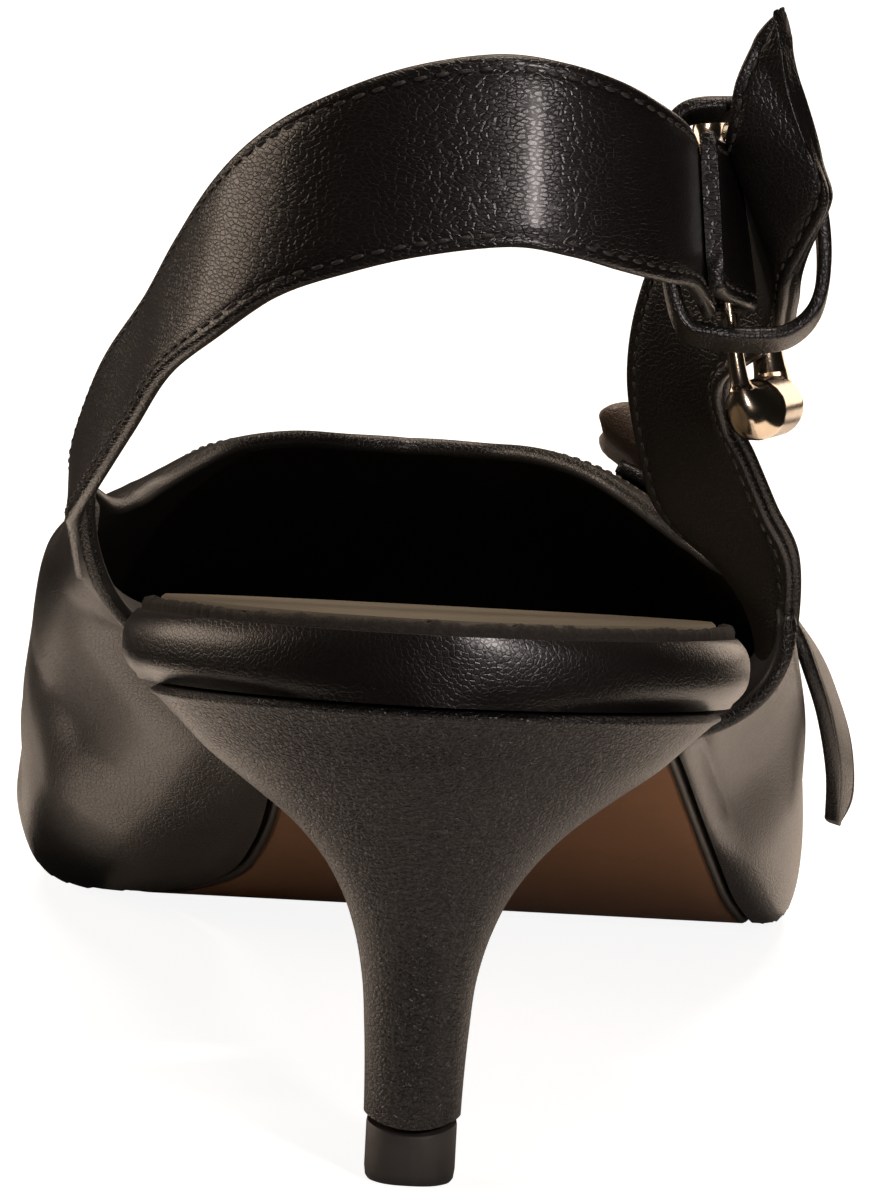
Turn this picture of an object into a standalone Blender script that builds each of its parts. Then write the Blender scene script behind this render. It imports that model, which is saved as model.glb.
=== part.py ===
"""Right-foot slingback pump with a kitten heel, metres, +Z up, toe along +Y.

The origin is the centre of the heel tip's ground face; the outer (buckle) side is +X.
"""
import math

import bmesh
import bpy
import numpy as np

MM = 0.001

# Driving sizes, millimetres
HEEL_BACK = -21.0          # rearmost point of the seat band
TOE_TIP = 235.0            # foremost point of the outsole
BREAST = 30.5              # where the outsole meets the heel
SEAT_WIDTH = 60.0
SEAT_BAND = 7.0            # height of the leather band round the seat
SOLE_THICK = 2.6
WALL = 1.8                 # leather with its lining
GAP = 0.3                  # clearance between assembled pieces
STRAP_THICK = 2.2          # quarter strap, a double layer
SLING_THICK = 1.6
TIP_HEIGHT = 6.0
TIP_WIDTH = 8.6
INSOLE_THICK = 1.6
THROAT_Y = 114.0

# Underside of the shoe along its length: y, z
UNDERSIDE = [(-22, 48.8), (-10, 47.3), (0, 46.0), (12, 44.2), (22, 42.6), (30, 41.0), (38, 38.6), (50, 34.2),
             (62, 29.4), (80, 20.7), (97, 12.4), (110, 6.9), (120, 3.4), (129, 0.9), (136, 0.0), (152, 0.0),
             (170, 0.7), (190, 2.5), (210, 4.9), (235, 8.6)]

# Outsole outline: y, medial x, lateral x
OUTLINE = [(28, -19.5, 21.0), (40, -17.6, 22.6), (60, -16.2, 24.9), (80, -16.2, 27.9), (95, -17.7, 30.3),
           (110, -20.6, 32.4), (122, -25.6, 34.2), (132, -31.6, 35.3), (142, -34.8, 35.6), (153, -35.4, 34.8),
           (168, -33.6, 31.4), (184, -29.4, 26.0), (200, -23.0, 19.0), (214, -16.4, 12.0), (226, -10.2, 6.0), (235, -5.2, 0.2)]

# Last sections: y, widest medial x and its z, widest lateral x and its z, crest x, crest z, roundness of the turn
SECTIONS = [(28, -35.0, 59.0, 34.2, 53.0, -2.0, 86.0, 1.0), (40, -36.2, 57.5, 34.9, 47.5, -4.0, 88.0, 1.0),
            (50, -37.0, 54.0, 35.4, 45.0, -5.0, 74.0, 1.0), (60, -37.8, 50.5, 35.8, 43.4, -6.0, 58.4, 1.0),
            (68, -38.6, 47.0, 36.0, 42.0, -6.0, 57.4, 1.0), (80, -39.8, 41.5, 36.9, 36.5, -6.0, 57.6, 0.96),
            (90, -40.6, 36.0, 37.7, 31.0, -6.0, 58.0, 0.90), (100, -41.3, 30.0, 38.4, 26.0, -6.0, 57.6, 0.80),
            (107, -41.8, 26.0, 38.9, 22.5, -5.0, 56.0, 0.72), (114, -42.4, 22.0, 39.3, 19.5, -4.0, 53.5, 0.66),
            (125, -43.2, 17.5, 39.9, 16.5, -2.5, 48.4, 0.60), (140, -43.4, 14.8, 40.0, 14.2, -2.0, 41.0, 0.56),
            (155, -41.8, 13.6, 38.2, 13.2, -2.0, 34.6, 0.58), (170, -38.2, 13.0, 33.6, 12.8, -2.2, 29.4, 0.62),
            (185, -32.2, 13.0, 27.4, 13.0, -2.4, 25.4, 0.68), (200, -25.2, 13.6, 20.2, 13.6, -2.6, 22.2, 0.74),
            (214, -18.2, 14.4, 13.0, 14.4, -2.7, 19.6, 0.80), (226, -11.6, 15.0, 6.4, 15.0, -2.7, 17.8, 0.88),
            (237, -4.2, 15.4, -1.2, 15.4, -2.7, 16.6, 0.95)]

# Top edge of the upper from the medial strap joint round the throat to the lateral one: side, y, z
# side is -1 medial and +1 lateral; the section gives x
TOPLINE = [(-1, 33.0, 60.0), (-1, 35.5, 63.5), (-1, 40.0, 66.8), (-1, 46.0, 63.6), (-1, 52.0, 60.0), (-1, 60.0, 55.6),
           (-1, 68.0, 53.6), (-1, 80.0, 53.2), (-1, 90.0, 53.9), (-1, 100.0, 54.6), (-1, 107.0, 54.7), (-1, 112.0, 53.9),
           (0, THROAT_Y, 53.4),
           (1, 112.0, 53.7), (1, 107.0, 54.3), (1, 98.0, 54.0), (1, 88.0, 52.8), (1, 76.0, 52.0), (1, 67.0, 53.0),
           (1, 61.5, 53.9), (1, 57.0, 53.2), (1, 50.0, 50.4)]

# Feather line, where the wall turns under: side, y
FEATHER = [(-1, 42.5), (-1, 50.0), (-1, 60.0), (-1, 72.0), (-1, 86.0), (-1, 100.0), (-1, 114.0), (-1, 128.0),
           (-1, 144.0), (-1, 162.0), (-1, 182.0), (-1, 204.0),
           (0, TOE_TIP + 0.4),
           (1, 204.0), (1, 182.0), (1, 160.0), (1, 140.0), (1, 122.0), (1, 104.0), (1, 86.0), (1, 70.0), (1, 50.0)]

# Sling strap: top edge x, y, z and bottom edge x, y, z, from the medial quarter round the heel to the buckle's bar
SLING = [(-32.4, 36.5, 68.9, -34.6, 27.5, 57.0), (-31.3, 29.0, 73.7, -33.0, 18.5, 61.8),
         (-28.9, 20.5, 80.1, -30.2, 9.5, 68.6), (-25.9, 10.5, 87.2, -26.9, 1.0, 75.2),
         (-22.2, 0.0, 94.7, -22.2, -6.5, 80.2), (-17.8, -7.0, 100.2, -16.6, -10.5, 84.8),
         (-12.2, -11.8, 104.2, -10.4, -13.2, 87.6), (-5.0, -14.4, 107.4, -3.6, -14.8, 89.8),
         (3.0, -15.0, 109.0, 4.8, -15.0, 91.2), (9.2, -13.6, 108.3, 10.4, -13.4, 90.4),
         (14.4, -10.0, 106.4, 15.2, -9.6, 88.8), (18.4, -4.0, 103.6, 19.4, -4.0, 87.2),
         (20.6, 4.0, 101.0, 22.0, 3.4, 85.8), (21.4, 13.0, 98.4, 23.4, 11.5, 83.2),
         (21.2, 21.0, 96.4, 24.2, 19.0, 81.0)]
FOLD_RADIUS = 2.05
FOLD_RETURN = 13.5

# Quarter strap: top edge and bottom edge, from the lateral quarter up to the free end
QUARTER_STRAP = [(21.8, 62.4, 55.8, 34.7, 49.2, 52.8), (19.4, 57.6, 62.6, 32.0, 44.8, 58.6),
                 (17.9, 52.0, 70.6, 29.4, 41.8, 64.2), (18.4, 45.8, 78.6, 27.4, 39.8, 67.8),
                 (20.6, 39.2, 85.4, 26.8, 35.4, 72.6), (26.0, 31.0, 91.0, 31.2, 27.8, 77.6),
                 (27.6, 21.5, 95.6, 31.8, 19.6, 82.0), (25.6, 15.2, 98.8, 32.0, 14.6, 85.6),
                 (25.4, 12.0, 101.4, 33.4, 12.2, 89.6), (25.6, 10.2, 105.2, 34.8, 9.8, 94.0),
                 (27.0, 9.6, 108.9, 33.4, 9.0, 98.2), (28.2, 8.6, 110.8, 31.0, 8.4, 104.4),
                 (28.9, 8.2, 111.6, 29.9, 8.1, 108.6)]

# Keeper loop, centre line in x and z at its own y
KEEPER_Y = 15.0
KEEPER_WIDTH = 4.2
KEEPER_THICK = 1.3
KEEPER_SLOPE = -0.5        # its lower run turns its outer face to the back
KEEPER = [(19.4, 98.0), (20.6, 100.6), (23.8, 101.4), (28.0, 101.0), (31.8, 97.6), (34.0, 92.4), (34.8, 87.0),
          (34.2, 82.6), (31.8, 80.0), (28.4, 79.4), (25.0, 79.5), (22.2, 80.2), (20.6, 83.6), (19.4, 91.0)]

# Heel rings: share of the height from tip to seat, width, back y, front y, centre x
HEEL = [(0.00, 9.2, -4.6, 4.2, 0.0), (0.05, 9.3, -4.7, 4.3, 0.0), (0.20, 9.9, -5.0, 4.6, 0.0),
        (0.34, 11.0, -5.6, 5.2, 0.0), (0.45, 13.2, -6.5, 6.2, 0.1), (0.54, 16.2, -7.8, 7.6, 0.2),
        (0.62, 20.4, -9.4, 9.6, 0.3), (0.70, 26.4, -11.4, 12.6, 0.3), (0.78, 34.6, -13.8, 16.6, 0.2),
        (0.86, 43.2, -16.0, 21.2, 0.2), (0.925, 48.6, -17.6, 25.2, 0.2), (0.97, 52.4, -18.9, 28.0, 0.2),
        (0.99, 54.0, -19.5, 29.2, 0.2), (1.00, 52.6, -18.9, 28.8, 0.2)]

# Vamp bow on the lateral side: rows of y, share of the lateral arc, lift off the wall
BOW_WIDTH = 13.0
BOW_THICK = 1.6
BOW_BAND = [(109.0, 0.82, 0.2), (107.8, 0.75, 0.2), (106.6, 0.68, 0.2), (105.6, 0.615, 0.2)]
BOW_TAIL = [(105.2, 0.585, 0.2, 1.0, 0.8), (104.6, 0.51, 0.3, 1.0, 1.8), (104.4, 0.45, 0.4, 1.0, 2.2),
            (105.0, 0.395, 1.0, 0.92, 2.2), (106.0, 0.345, 1.9, 0.62, 1.6), (106.8, 0.305, 2.2, 0.12, 0.4)]
LOOP_Y = 109.0
LOOP_THICK = 1.2
LOOP_SHARES = (0.805, 0.625)   # its two open ends, across the vamp
LOOP_HEIGHT = 3.0
LOOP_HALF_LONG = 6.6
LOOP_CLEAR = 0.9           # its ends stand off the band, which is rounder than the ribbon

# Buckle frame
BUCKLE_HALF_LONG = 13.9
BUCKLE_DROP = 3.5
BUCKLE_DEPTH = 14.6
BUCKLE_TILT = 0.23         # how far its front bar stands out, as a share of its depth
BUCKLE_FLARE = 1.05        # growth of the broad lower end
BUCKLE_CORNER = 3.6
BUCKLE_BAR = 1.45
REAR_BAR = 0.56            # the held bar, as a share of the others


def material(name, colour, roughness, metallic=0.0):
    mat = bpy.data.materials.new(name)
    mat.use_nodes = True
    shader = mat.node_tree.nodes["Principled BSDF"]
    shader.inputs["Base Color"].default_value = (*colour, 1.0)
    shader.inputs["Roughness"].default_value = roughness
    shader.inputs["Metallic"].default_value = metallic
    return mat


def solid(name, points, faces, colour, roughness, metallic=0.0):
    """A closed body from points in millimetres, normals turned outwards."""
    mesh = bpy.data.meshes.new(name)
    mesh.from_pydata([tuple(float(c) * MM for c in p) for p in points], [], faces)
    edit = bmesh.new()
    edit.from_mesh(mesh)
    bmesh.ops.recalc_face_normals(edit, faces=edit.faces)
    if edit.calc_volume(signed=True) < 0:
        bmesh.ops.reverse_faces(edit, faces=edit.faces)
    edit.to_mesh(mesh)
    edit.free()
    mesh.materials.append(material(name, colour, roughness, metallic))
    obj = bpy.data.objects.new(name, mesh)
    bpy.context.collection.objects.link(obj)
    return obj


def smooth(rows, count, closed=False):
    """Centripetal-like spline through the rows, sampled evenly by length."""
    rows = np.array(rows, float)
    total = len(rows)
    dense = []
    spans = total if closed else total - 1
    for i in range(spans):
        if closed:
            p0, p1, p2, p3 = (rows[(i + k) % total] for k in (-1, 0, 1, 2))
        else:
            p0, p1, p2, p3 = rows[max(i - 1, 0)], rows[i], rows[i + 1], rows[min(i + 2, total - 1)]
        for t in np.linspace(0, 1, 16, endpoint=False):
            dense.append(0.5 * (2 * p1 + (p2 - p0) * t + (2 * p0 - 5 * p1 + 4 * p2 - p3) * t * t
                                + (3 * p1 - p0 - 3 * p2 + p3) * t ** 3))
    dense.append(rows[0] if closed else rows[-1])
    dense = np.array(dense)
    length = np.concatenate([[0], np.cumsum(np.linalg.norm(np.diff(dense, axis=0), axis=1))])
    wanted = np.linspace(0, length[-1], count + 1 if closed else count)
    out = np.stack([np.interp(wanted, length, dense[:, k]) for k in range(rows.shape[1])], axis=1)
    return out[:-1] if closed else out


def curve_value(table, at, column):
    """One column of a table by a smooth cubic through its rows."""
    xs = np.array([row[0] for row in table], float)
    ys = np.array([row[column] for row in table], float)
    slope = np.gradient(ys, xs)
    at = min(max(at, xs[0]), xs[-1])
    i = min(int(np.searchsorted(xs, at, side="right")) - 1, len(xs) - 2)
    h = xs[i + 1] - xs[i]
    t = (at - xs[i]) / h
    return ((2 * t ** 3 - 3 * t ** 2 + 1) * ys[i] + (t ** 3 - 2 * t ** 2 + t) * h * slope[i]
            + (3 * t ** 2 - 2 * t ** 3) * ys[i + 1] + (t ** 3 - t ** 2) * h * slope[i + 1])


def underside(y):
    flat = 133.0 < y < 154.0
    return 0.0 if flat else max(0.0, curve_value(UNDERSIDE, y, 1))


def outline_x(y, side):
    return curve_value(OUTLINE, y, 1 if side < 0 else 2)


def unit(v):
    v = np.asarray(v, float)
    return v / max(np.linalg.norm(v), 1e-9)


def tube_faces(rings, around, closed=False):
    """Quads of a loft with point index ring * around + k, with end caps where it is open."""
    faces = []
    for i in range(rings if closed else rings - 1):
        j = (i + 1) % rings
        for k in range(around):
            m = (k + 1) % around
            faces.append((i * around + k, i * around + m, j * around + m, j * around + k))
    if not closed:
        faces.append(tuple(range(around - 1, -1, -1)))
        faces.append(tuple((rings - 1) * around + k for k in range(around)))
    return faces


def strip_ring(top, bottom, normal, thick):
    """Rounded-edge cross-section of a strap between its two edges."""
    across = top - bottom
    width = np.linalg.norm(across)
    across = across / width
    half = thick / 2
    ring = []
    for share, lift in ((0.0, 0.30), (0.045, 0.86), (0.5, 1.0), (0.955, 0.86), (1.0, 0.30),
                        (1.0, -0.30), (0.955, -0.86), (0.5, -1.0), (0.045, -0.86), (0.0, -0.30)):
        ring.append(bottom + across * width * share + normal * half * lift)
    return ring


def strip(rows, count, thick):
    """Points and faces of a strap laid through rows of top edge and bottom edge."""
    path = smooth(rows, count)
    centre = (path[:, :3] + path[:, 3:]) / 2
    tangent = np.gradient(centre, axis=0)
    points = []
    for i in range(count):
        across = unit(path[i, :3] - path[i, 3:])
        normal = unit(np.cross(tangent[i], across))
        points += strip_ring(path[i, :3], path[i, 3:], normal, thick)
    return points, tube_faces(count, 10)


SPLIT = 0.34               # share of the arc that lies under the widest line
LATERAL_FALL = 1.05        # the outer side of the instep is flatter than the inner


def section_values(side, y):
    """Foot point, widest point, crest point and turn roundness of one side of a section."""
    col = 1 if side < 0 else 3
    wide = np.array([curve_value(SECTIONS, y, col), curve_value(SECTIONS, y, col + 1)])
    crest = np.array([curve_value(SECTIONS, y, 5), curve_value(SECTIONS, y, 6)])
    y_sole = min(y, TOE_TIP)
    foot_x = outline_x(y_sole, side)
    foot = np.array([foot_x - math.copysign(0.6, foot_x - crest[0]), underside(y_sole) + SOLE_THICK + GAP])
    return foot, wide, crest, curve_value(SECTIONS, y, 7)


def section_point(side, y, share):
    """Outer surface of the upper: share 0 at the feather line, 1 at the crest."""
    foot, wide, crest, turn = section_values(side, y)
    if share < SPLIT:
        a = share / SPLIT * math.pi / 2
        return (foot[0] + (wide[0] - foot[0]) * math.sin(a) ** turn,
                wide[1] - (wide[1] - foot[1]) * math.cos(a) ** turn)
    a = (share - SPLIT) / (1 - SPLIT) * math.pi / 2
    fall = 1.0 if side < 0 else LATERAL_FALL
    return (crest[0] + (wide[0] - crest[0]) * max(math.cos(a), 0.0) ** 0.98,
            wide[1] + (crest[1] - wide[1]) * math.sin(a) ** fall)


def share_at(side, y, z):
    """Share of the section where the surface reaches height z."""
    foot, wide, crest, turn = section_values(side, y)
    if z < wide[1]:
        drop = min(max((wide[1] - z) / (wide[1] - foot[1]), 0.0), 1.0) ** (1 / turn)
        return SPLIT * math.acos(drop) / (math.pi / 2)
    fall = 1.0 if side < 0 else LATERAL_FALL
    rise = min((z - wide[1]) / (crest[1] - wide[1]), 1.0) ** (1 / fall)
    return SPLIT + (1 - SPLIT) * math.asin(rise) / (math.pi / 2)


def on_upper(y, share, lift, side=1):
    """A point lifted off the wall along its normal."""
    x, z = section_point(side, y, share)
    xa, za = section_point(side, y, share + 0.01)
    xb, zb = section_point(side, y + 0.5, share)
    normal = unit(np.cross((xa - x, 0.0, za - z), (xb - x, 0.5, zb - z)))
    if normal[0] * side < 0:
        normal = -normal
    return np.array([x, y, z]) + normal * lift


RIBS = 66
ROWS = 14


def upper_rib(feather, top, count):
    """One line of the wall, from the feather line up to the top edge; the arc position runs 0 to 2 over the crest."""
    y0, s0 = feather
    y1, s1 = top
    line = []
    for v in np.linspace(0, 1, count):
        ease = v
        y = y0 + (y1 - y0) * ease
        arc = s0 + (s1 - s0) * v
        side = -1 if arc <= 1.0 else 1
        share = arc if arc <= 1.0 else 2.0 - arc
        x, z = section_point(side, y, share)
        line.append((x, y, max(z, underside(min(y, TOE_TIP)) + SOLE_THICK + GAP)))
    if s0 == 1.0:
        line[0] = (line[0][0], y0, underside(TOE_TIP) + SOLE_THICK + GAP)
    return line


def upper_surface():
    """Outer surface of vamp and quarters as a grid of ribs."""
    tops = []
    for side, y, z in TOPLINE:
        if side == 0:
            tops.append((y, 1.0))
        else:
            share = share_at(side, y, z)
            tops.append((y, share if side < 0 else 2.0 - share))
    feet = [(y, 0.0 if side < 0 else (1.0 if side == 0 else 2.0)) for side, y in FEATHER]
    mid_top = next(i for i, row in enumerate(TOPLINE) if row[0] == 0)
    mid_foot = next(i for i, row in enumerate(FEATHER) if row[0] == 0)
    half = RIBS // 2

    def halves(rows, middle):
        scale = np.array([1.0, 30.0])
        left = smooth(np.array(rows[:middle + 1]) * scale, half + 1) / scale
        right = smooth(np.array(rows[middle:]) * scale, half + 1) / scale
        return np.concatenate([left, right[1:]])

    top_line = halves(tops, mid_top)
    foot_left = smooth([(y,) for y, _ in feet[:mid_foot + 1]], half + 1)[:, 0]
    foot_right = smooth([(y,) for y, _ in feet[mid_foot:]], half + 1)[:, 0]
    grid = []
    for i in range(RIBS + 1):
        if i < half:
            foot = (foot_left[i], 0.0)
        elif i == half:
            foot = (TOE_TIP + 1.6, 1.0)
        else:
            foot = (foot_right[i - half], 2.0)
        grid.append(upper_rib(foot, top_line[i], ROWS))
    return np.array(grid)


def offset_grid(grid, depth):
    """The same grid moved inwards along its normals, kept off the sole line."""
    du = np.gradient(grid, axis=0)
    dv = np.gradient(grid, axis=1)
    normal = np.cross(du, dv)
    normal /= np.maximum(np.linalg.norm(normal, axis=2, keepdims=True), 1e-9)
    centre = np.array([0.0, 110.0, 30.0])
    if np.mean(np.sum(normal * (grid - centre), axis=2)) < 0:
        normal = -normal
    half = np.vectorize(lambda y: (curve_value(SECTIONS, y, 3) - curve_value(SECTIONS, y, 1)) / 2)(grid[..., 1])
    inner = grid - normal * np.minimum(depth, 0.30 * half)[..., None]
    middle = np.vectorize(lambda y: curve_value(SECTIONS, y, 5))(grid[..., 1])
    height = np.vectorize(lambda y: (curve_value(SECTIONS, y, 6) + underside(min(y, TOE_TIP)) + SOLE_THICK) / 2)(
        grid[..., 1])
    shrink = np.clip(1 - depth / half, 0.4, 1.0)
    toe = np.stack([middle + (grid[..., 0] - middle) * shrink,
                    grid[..., 1] - depth * np.clip((grid[..., 1] - 210) / 22, 0, 1),
                    height + (grid[..., 2] - height) * np.clip(shrink, 0.4, 0.74)], axis=2)
    share = np.clip((grid[..., 1] - 176) / 12, 0, 1)[..., None]
    share = share * share * (3 - 2 * share)
    inner = inner * (1 - share) + toe * share
    floor = np.vectorize(lambda y: underside(min(y, TOE_TIP)) + SOLE_THICK + GAP)(inner[..., 1])
    inner[..., 2] = np.maximum(inner[..., 2], floor + 0.02)
    inner[:, 0, 2] = np.maximum(inner[:, 0, 2], grid[:, 0, 2])
    return inner


def build_upper():
    outer = upper_surface()
    inner = offset_grid(outer, WALL)
    ribs, rows = outer.shape[:2]
    points = list(outer.reshape(-1, 3)) + list(inner.reshape(-1, 3))
    shift = ribs * rows
    faces = []
    for i in range(ribs - 1):
        for j in range(rows - 1):
            a, b, c, d = i * rows + j, (i + 1) * rows + j, (i + 1) * rows + j + 1, i * rows + j + 1
            faces.append((a, b, c, d))
            faces.append((shift + d, shift + c, shift + b, shift + a))
    for i in range(ribs - 1):
        a, b = i * rows, (i + 1) * rows
        faces.append((a, shift + a, shift + b, b))
        a, b = i * rows + rows - 1, (i + 1) * rows + rows - 1
        faces.append((b, shift + b, shift + a, a))
    for j in range(rows - 1):
        a, d = j, j + 1
        faces.append((a, d, shift + d, shift + a))
        a, d = (ribs - 1) * rows + j, (ribs - 1) * rows + j + 1
        faces.append((shift + a, shift + d, d, a))
    return solid("upper", points, faces, (0.018, 0.017, 0.016), 0.42)


def plate(name, stations, colour, roughness):
    """A plate from stations of y, medial x, lateral x, bottom z, top z, with rounded long edges."""
    points = []
    for y, x0, x1, z0, z1 in stations:
        r = min((z1 - z0) * 0.42, (x1 - x0) * 0.3)
        ring = [(x0 + r, z0), ((x0 + x1) / 2, z0), (x1 - r, z0), (x1 - r * 0.25, z0 + r * 0.3), (x1, (z0 + z1) / 2),
                (x1 - r * 0.25, z1 - r * 0.3), (x1 - r, z1), ((x0 + x1) / 2, z1), (x0 + r, z1),
                (x0 + r * 0.25, z1 - r * 0.3), (x0, (z0 + z1) / 2), (x0 + r * 0.25, z0 + r * 0.3)]
        points += [(x, y, z) for x, z in ring]
    return solid(name, points, tube_faces(len(stations), 12), colour, roughness)


def build_outsole():
    turn = TOE_TIP - 6.0        # where the point of the toe begins to round off
    ys = list(np.linspace(BREAST, 130, 21)) + list(np.linspace(134, turn - 3, 18))
    ys += [TOE_TIP - before for before in (6.0, 3.5, 1.5, 0.4, 0.0)]
    stations = []
    for y in ys:
        x0, x1 = outline_x(y, -1), outline_x(y, 1)
        if y > turn:
            middle, half = (x0 + x1) / 2, (outline_x(turn, 1) - outline_x(turn, -1)) / 2
            half *= math.sqrt(max(0.04, 1 - ((y - turn) / 6.2) ** 2))
            x0, x1 = middle - half, middle + half
        z = underside(y)
        stations.append((y, x0, x1, z, z + SOLE_THICK))
    return plate("outsole", stations, (0.20, 0.115, 0.062), 0.5)


def seat_half(y, widest, back):
    """Half-width of the seat's plan: a round back that flows into the waist."""
    turn = 17.0
    if y < turn:
        return widest * math.sqrt(max(0.0, 1 - ((turn - y) / (turn - back)) ** 2.25))
    return widest - 0.0125 * (y - turn) ** 1.75


def band_top(y):
    """Top of the seat band: level with its height at the back, tapering to the shank."""
    lift = SEAT_BAND if y < 26 else SEAT_BAND - (SEAT_BAND - SOLE_THICK - 1.4) * min(1.0, (y - 26) / 34) ** 0.9
    return underside(y) + lift


def inner_edges(y, half, inset):
    """Medial and lateral edges that leave the seat's round plan for the waist between the quarters."""
    blend = min(1.0, max(0.0, (y - 29) / 13))
    blend = blend * blend * (3 - 2 * blend)
    left = -half * (1 - blend) + (outline_x(max(y, 28), -1) + inset) * blend
    right = half * (1 - blend) + (outline_x(max(y, 28), 1) - inset) * blend
    return left, right


def build_heel_rand():
    ys = [HEEL_BACK + d for d in (0.12, 0.5, 1.2, 2.2, 3.6, 5.5, 8, 11, 15)] + list(np.linspace(-2, 27, 9)) \
        + [28.0] + list(np.linspace(30, 57, 11))
    points = []
    for y in ys:
        z0 = underside(y) + GAP + (SOLE_THICK if y > 27.5 else 0.0)
        z1 = band_top(y)
        left, right = inner_edges(y, seat_half(y, SEAT_WIDTH / 2, HEEL_BACK), 3.4)
        bulge = min(1.7 if y < 30 else 0.8, (right - left) * 0.2)
        profile = ((2.2, 0.0), (1.0, 0.0), (0.28, 0.12), (0.03, 0.32), (0.0, 0.55), (0.1, 0.8), (0.55, 0.95),
                   (1.0, 1.0))
        ring = [(right - bulge * inset, z0 + (z1 - z0) * share) for inset, share in profile]
        ring += [(left + bulge * inset, z0 + (z1 - z0) * share) for inset, share in reversed(profile)]
        points += [(x, y, z) for x, z in ring]
    return solid("heel_rand", points, tube_faces(len(ys), 16), (0.022, 0.020, 0.018), 0.40)


def build_insole():
    """Padded sock that lies on the seat band and then inside the upper."""
    join, rise = 58, 1.4        # where it leaves the band, and how high it still lies there
    ys = [HEEL_BACK + d for d in (3.4, 4.0, 5.2, 7.5, 10.5, 14)] + list(np.linspace(-2, 60, 16)) \
        + list(np.linspace(66, 212, 18))
    stations = []
    for y in ys:
        z0 = underside(y) + SOLE_THICK + GAP + rise * max(0.0, 1 - (y - join) / 14)
        if y < join:
            z0 = band_top(y) + GAP
        half = seat_half(y, SEAT_WIDTH / 2 - 3.4, HEEL_BACK + 3.2) if y < 60 else 20.0
        left, right = inner_edges(y, half, 3.8)
        stations.append((y, left, right, z0, z0 + INSOLE_THICK))
    return plate("insole", stations, (0.17, 0.145, 0.095), 0.75)


def build_heel():
    points = []
    around = 26
    for share, width, back, front, centre in HEEL:
        middle, depth = (back + front) / 2, (front - back) / 2
        for k in range(around):
            a = 2 * math.pi * k / around
            c, s = math.cos(a), math.sin(a)
            power = 0.86 if c > 0 else 1.0
            y = middle + depth * math.copysign(abs(c) ** (power if share < 0.5 else power - 0.16), c)
            x = centre + width / 2 * math.copysign(abs(s) ** 0.92, s)
            base = TIP_HEIGHT + GAP - (0.9 * (abs(x) < width * 0.3) if share == 0 else 0)
            points.append((x, y, base + share * (underside(y) - base)))
    return solid("heel", points, tube_faces(len(HEEL), around), (0.020, 0.018, 0.017), 0.38)


def build_heel_tip():
    points = []
    around = 26
    levels = [(0.0, 0.90), (0.5, 0.98), (2.4, 1.0), (TIP_HEIGHT - 1.3, 1.0)]
    for z, scale in levels:
        for k in range(around):
            a = 2 * math.pi * k / around
            c, s = math.cos(a), math.sin(a)
            x = TIP_WIDTH / 2 * scale * math.copysign(abs(s) ** 0.8, s)
            y = -0.2 + 4.2 * scale * math.copysign(abs(c) ** 0.8, c)
            points.append((x, y, z))
    return solid("heel_tip", points, tube_faces(len(levels), around), (0.035, 0.032, 0.030), 0.5)


def fold_rows():
    """Rows of the sling strap with its lateral end taken round the buckle's bar and back."""
    rows = [list(row) for row in SLING]
    last, before = np.array(rows[-1]), np.array(rows[-2])
    along = unit((last[:3] + last[3:] - before[:3] - before[3:]) / 2)
    across = unit(last[:3] - last[3:])
    out = unit(np.cross(across, along))
    if out[0] < 0:
        out = -out
    along = unit(np.cross(out, across)) * (1 if np.dot(np.cross(out, across), along) > 0 else -1)
    middle = last.reshape(2, 3) + along * 2.0
    bar = middle + out * FOLD_RADIUS
    for angle in (-90, -45, 0, 45, 90):
        a = math.radians(angle)
        spot = bar + (out * math.sin(a) + along * math.cos(a)) * FOLD_RADIUS
        rows.append(list(spot[0]) + list(spot[1]))
    for back, lift in ((2.5, 0.86), (5.5, 0.45), (9.5, 0.08), (FOLD_RETURN, 0.0)):
        reach = back + 2.0
        near = np.array(smooth(SLING, 160))
        centre = (near[:, :3] + near[:, 3:]) / 2
        goal = (last[:3] + last[3:]) / 2 - along * (reach - 2.0)
        i = int(np.argmin(np.linalg.norm(centre - goal, axis=1)))
        apart = SLING_THICK + GAP + (2 * FOLD_RADIUS - SLING_THICK - GAP) * max(lift, 0.0)
        spot = near[i].reshape(2, 3) + out * apart
        rows.append(list(spot[0]) + list(spot[1]))
    return rows, bar.mean(axis=0), along, across, out


def build_sling_strap():
    rows, *_ = fold_rows()
    points, faces = strip(rows, 58, SLING_THICK)
    return solid("sling_strap", points, faces, (0.020, 0.018, 0.017), 0.40)


def build_quarter_strap():
    points, faces = strip(QUARTER_STRAP, 30, STRAP_THICK)
    return solid("quarter_strap", points, faces, (0.020, 0.018, 0.017), 0.40)


def closed_strip(name, line, y, width, thick, count, lean, colour, roughness, slope=0.0):
    """A closed band whose centre line lies in x and z; lean is y per height and slope is height per y."""
    path = smooth(line, count, closed=True)
    tangent = np.roll(path, -1, axis=0) - np.roll(path, 1, axis=0)
    points = []
    for (x, z), (tx, tz) in zip(path, tangent):
        n = unit((tz, -tx))
        for w, t in ((-0.5, -0.3), (-0.42, -0.5), (0.42, -0.5), (0.5, -0.3), (0.5, 0.3), (0.42, 0.5), (-0.42, 0.5),
                     (-0.5, 0.3)):
            px, pz = x + n[0] * thick * t, z + n[1] * thick * t
            points.append((px, y + w * width + lean * (pz - line[0][1]), pz + slope * w * width))
    return solid(name, points, tube_faces(count, 8, closed=True), colour, roughness)


def build_keeper():
    return closed_strip("keeper_loop", KEEPER, KEEPER_Y, KEEPER_WIDTH, KEEPER_THICK, 34, -0.06,
                        (0.020, 0.018, 0.017), 0.42, slope=KEEPER_SLOPE)


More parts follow.
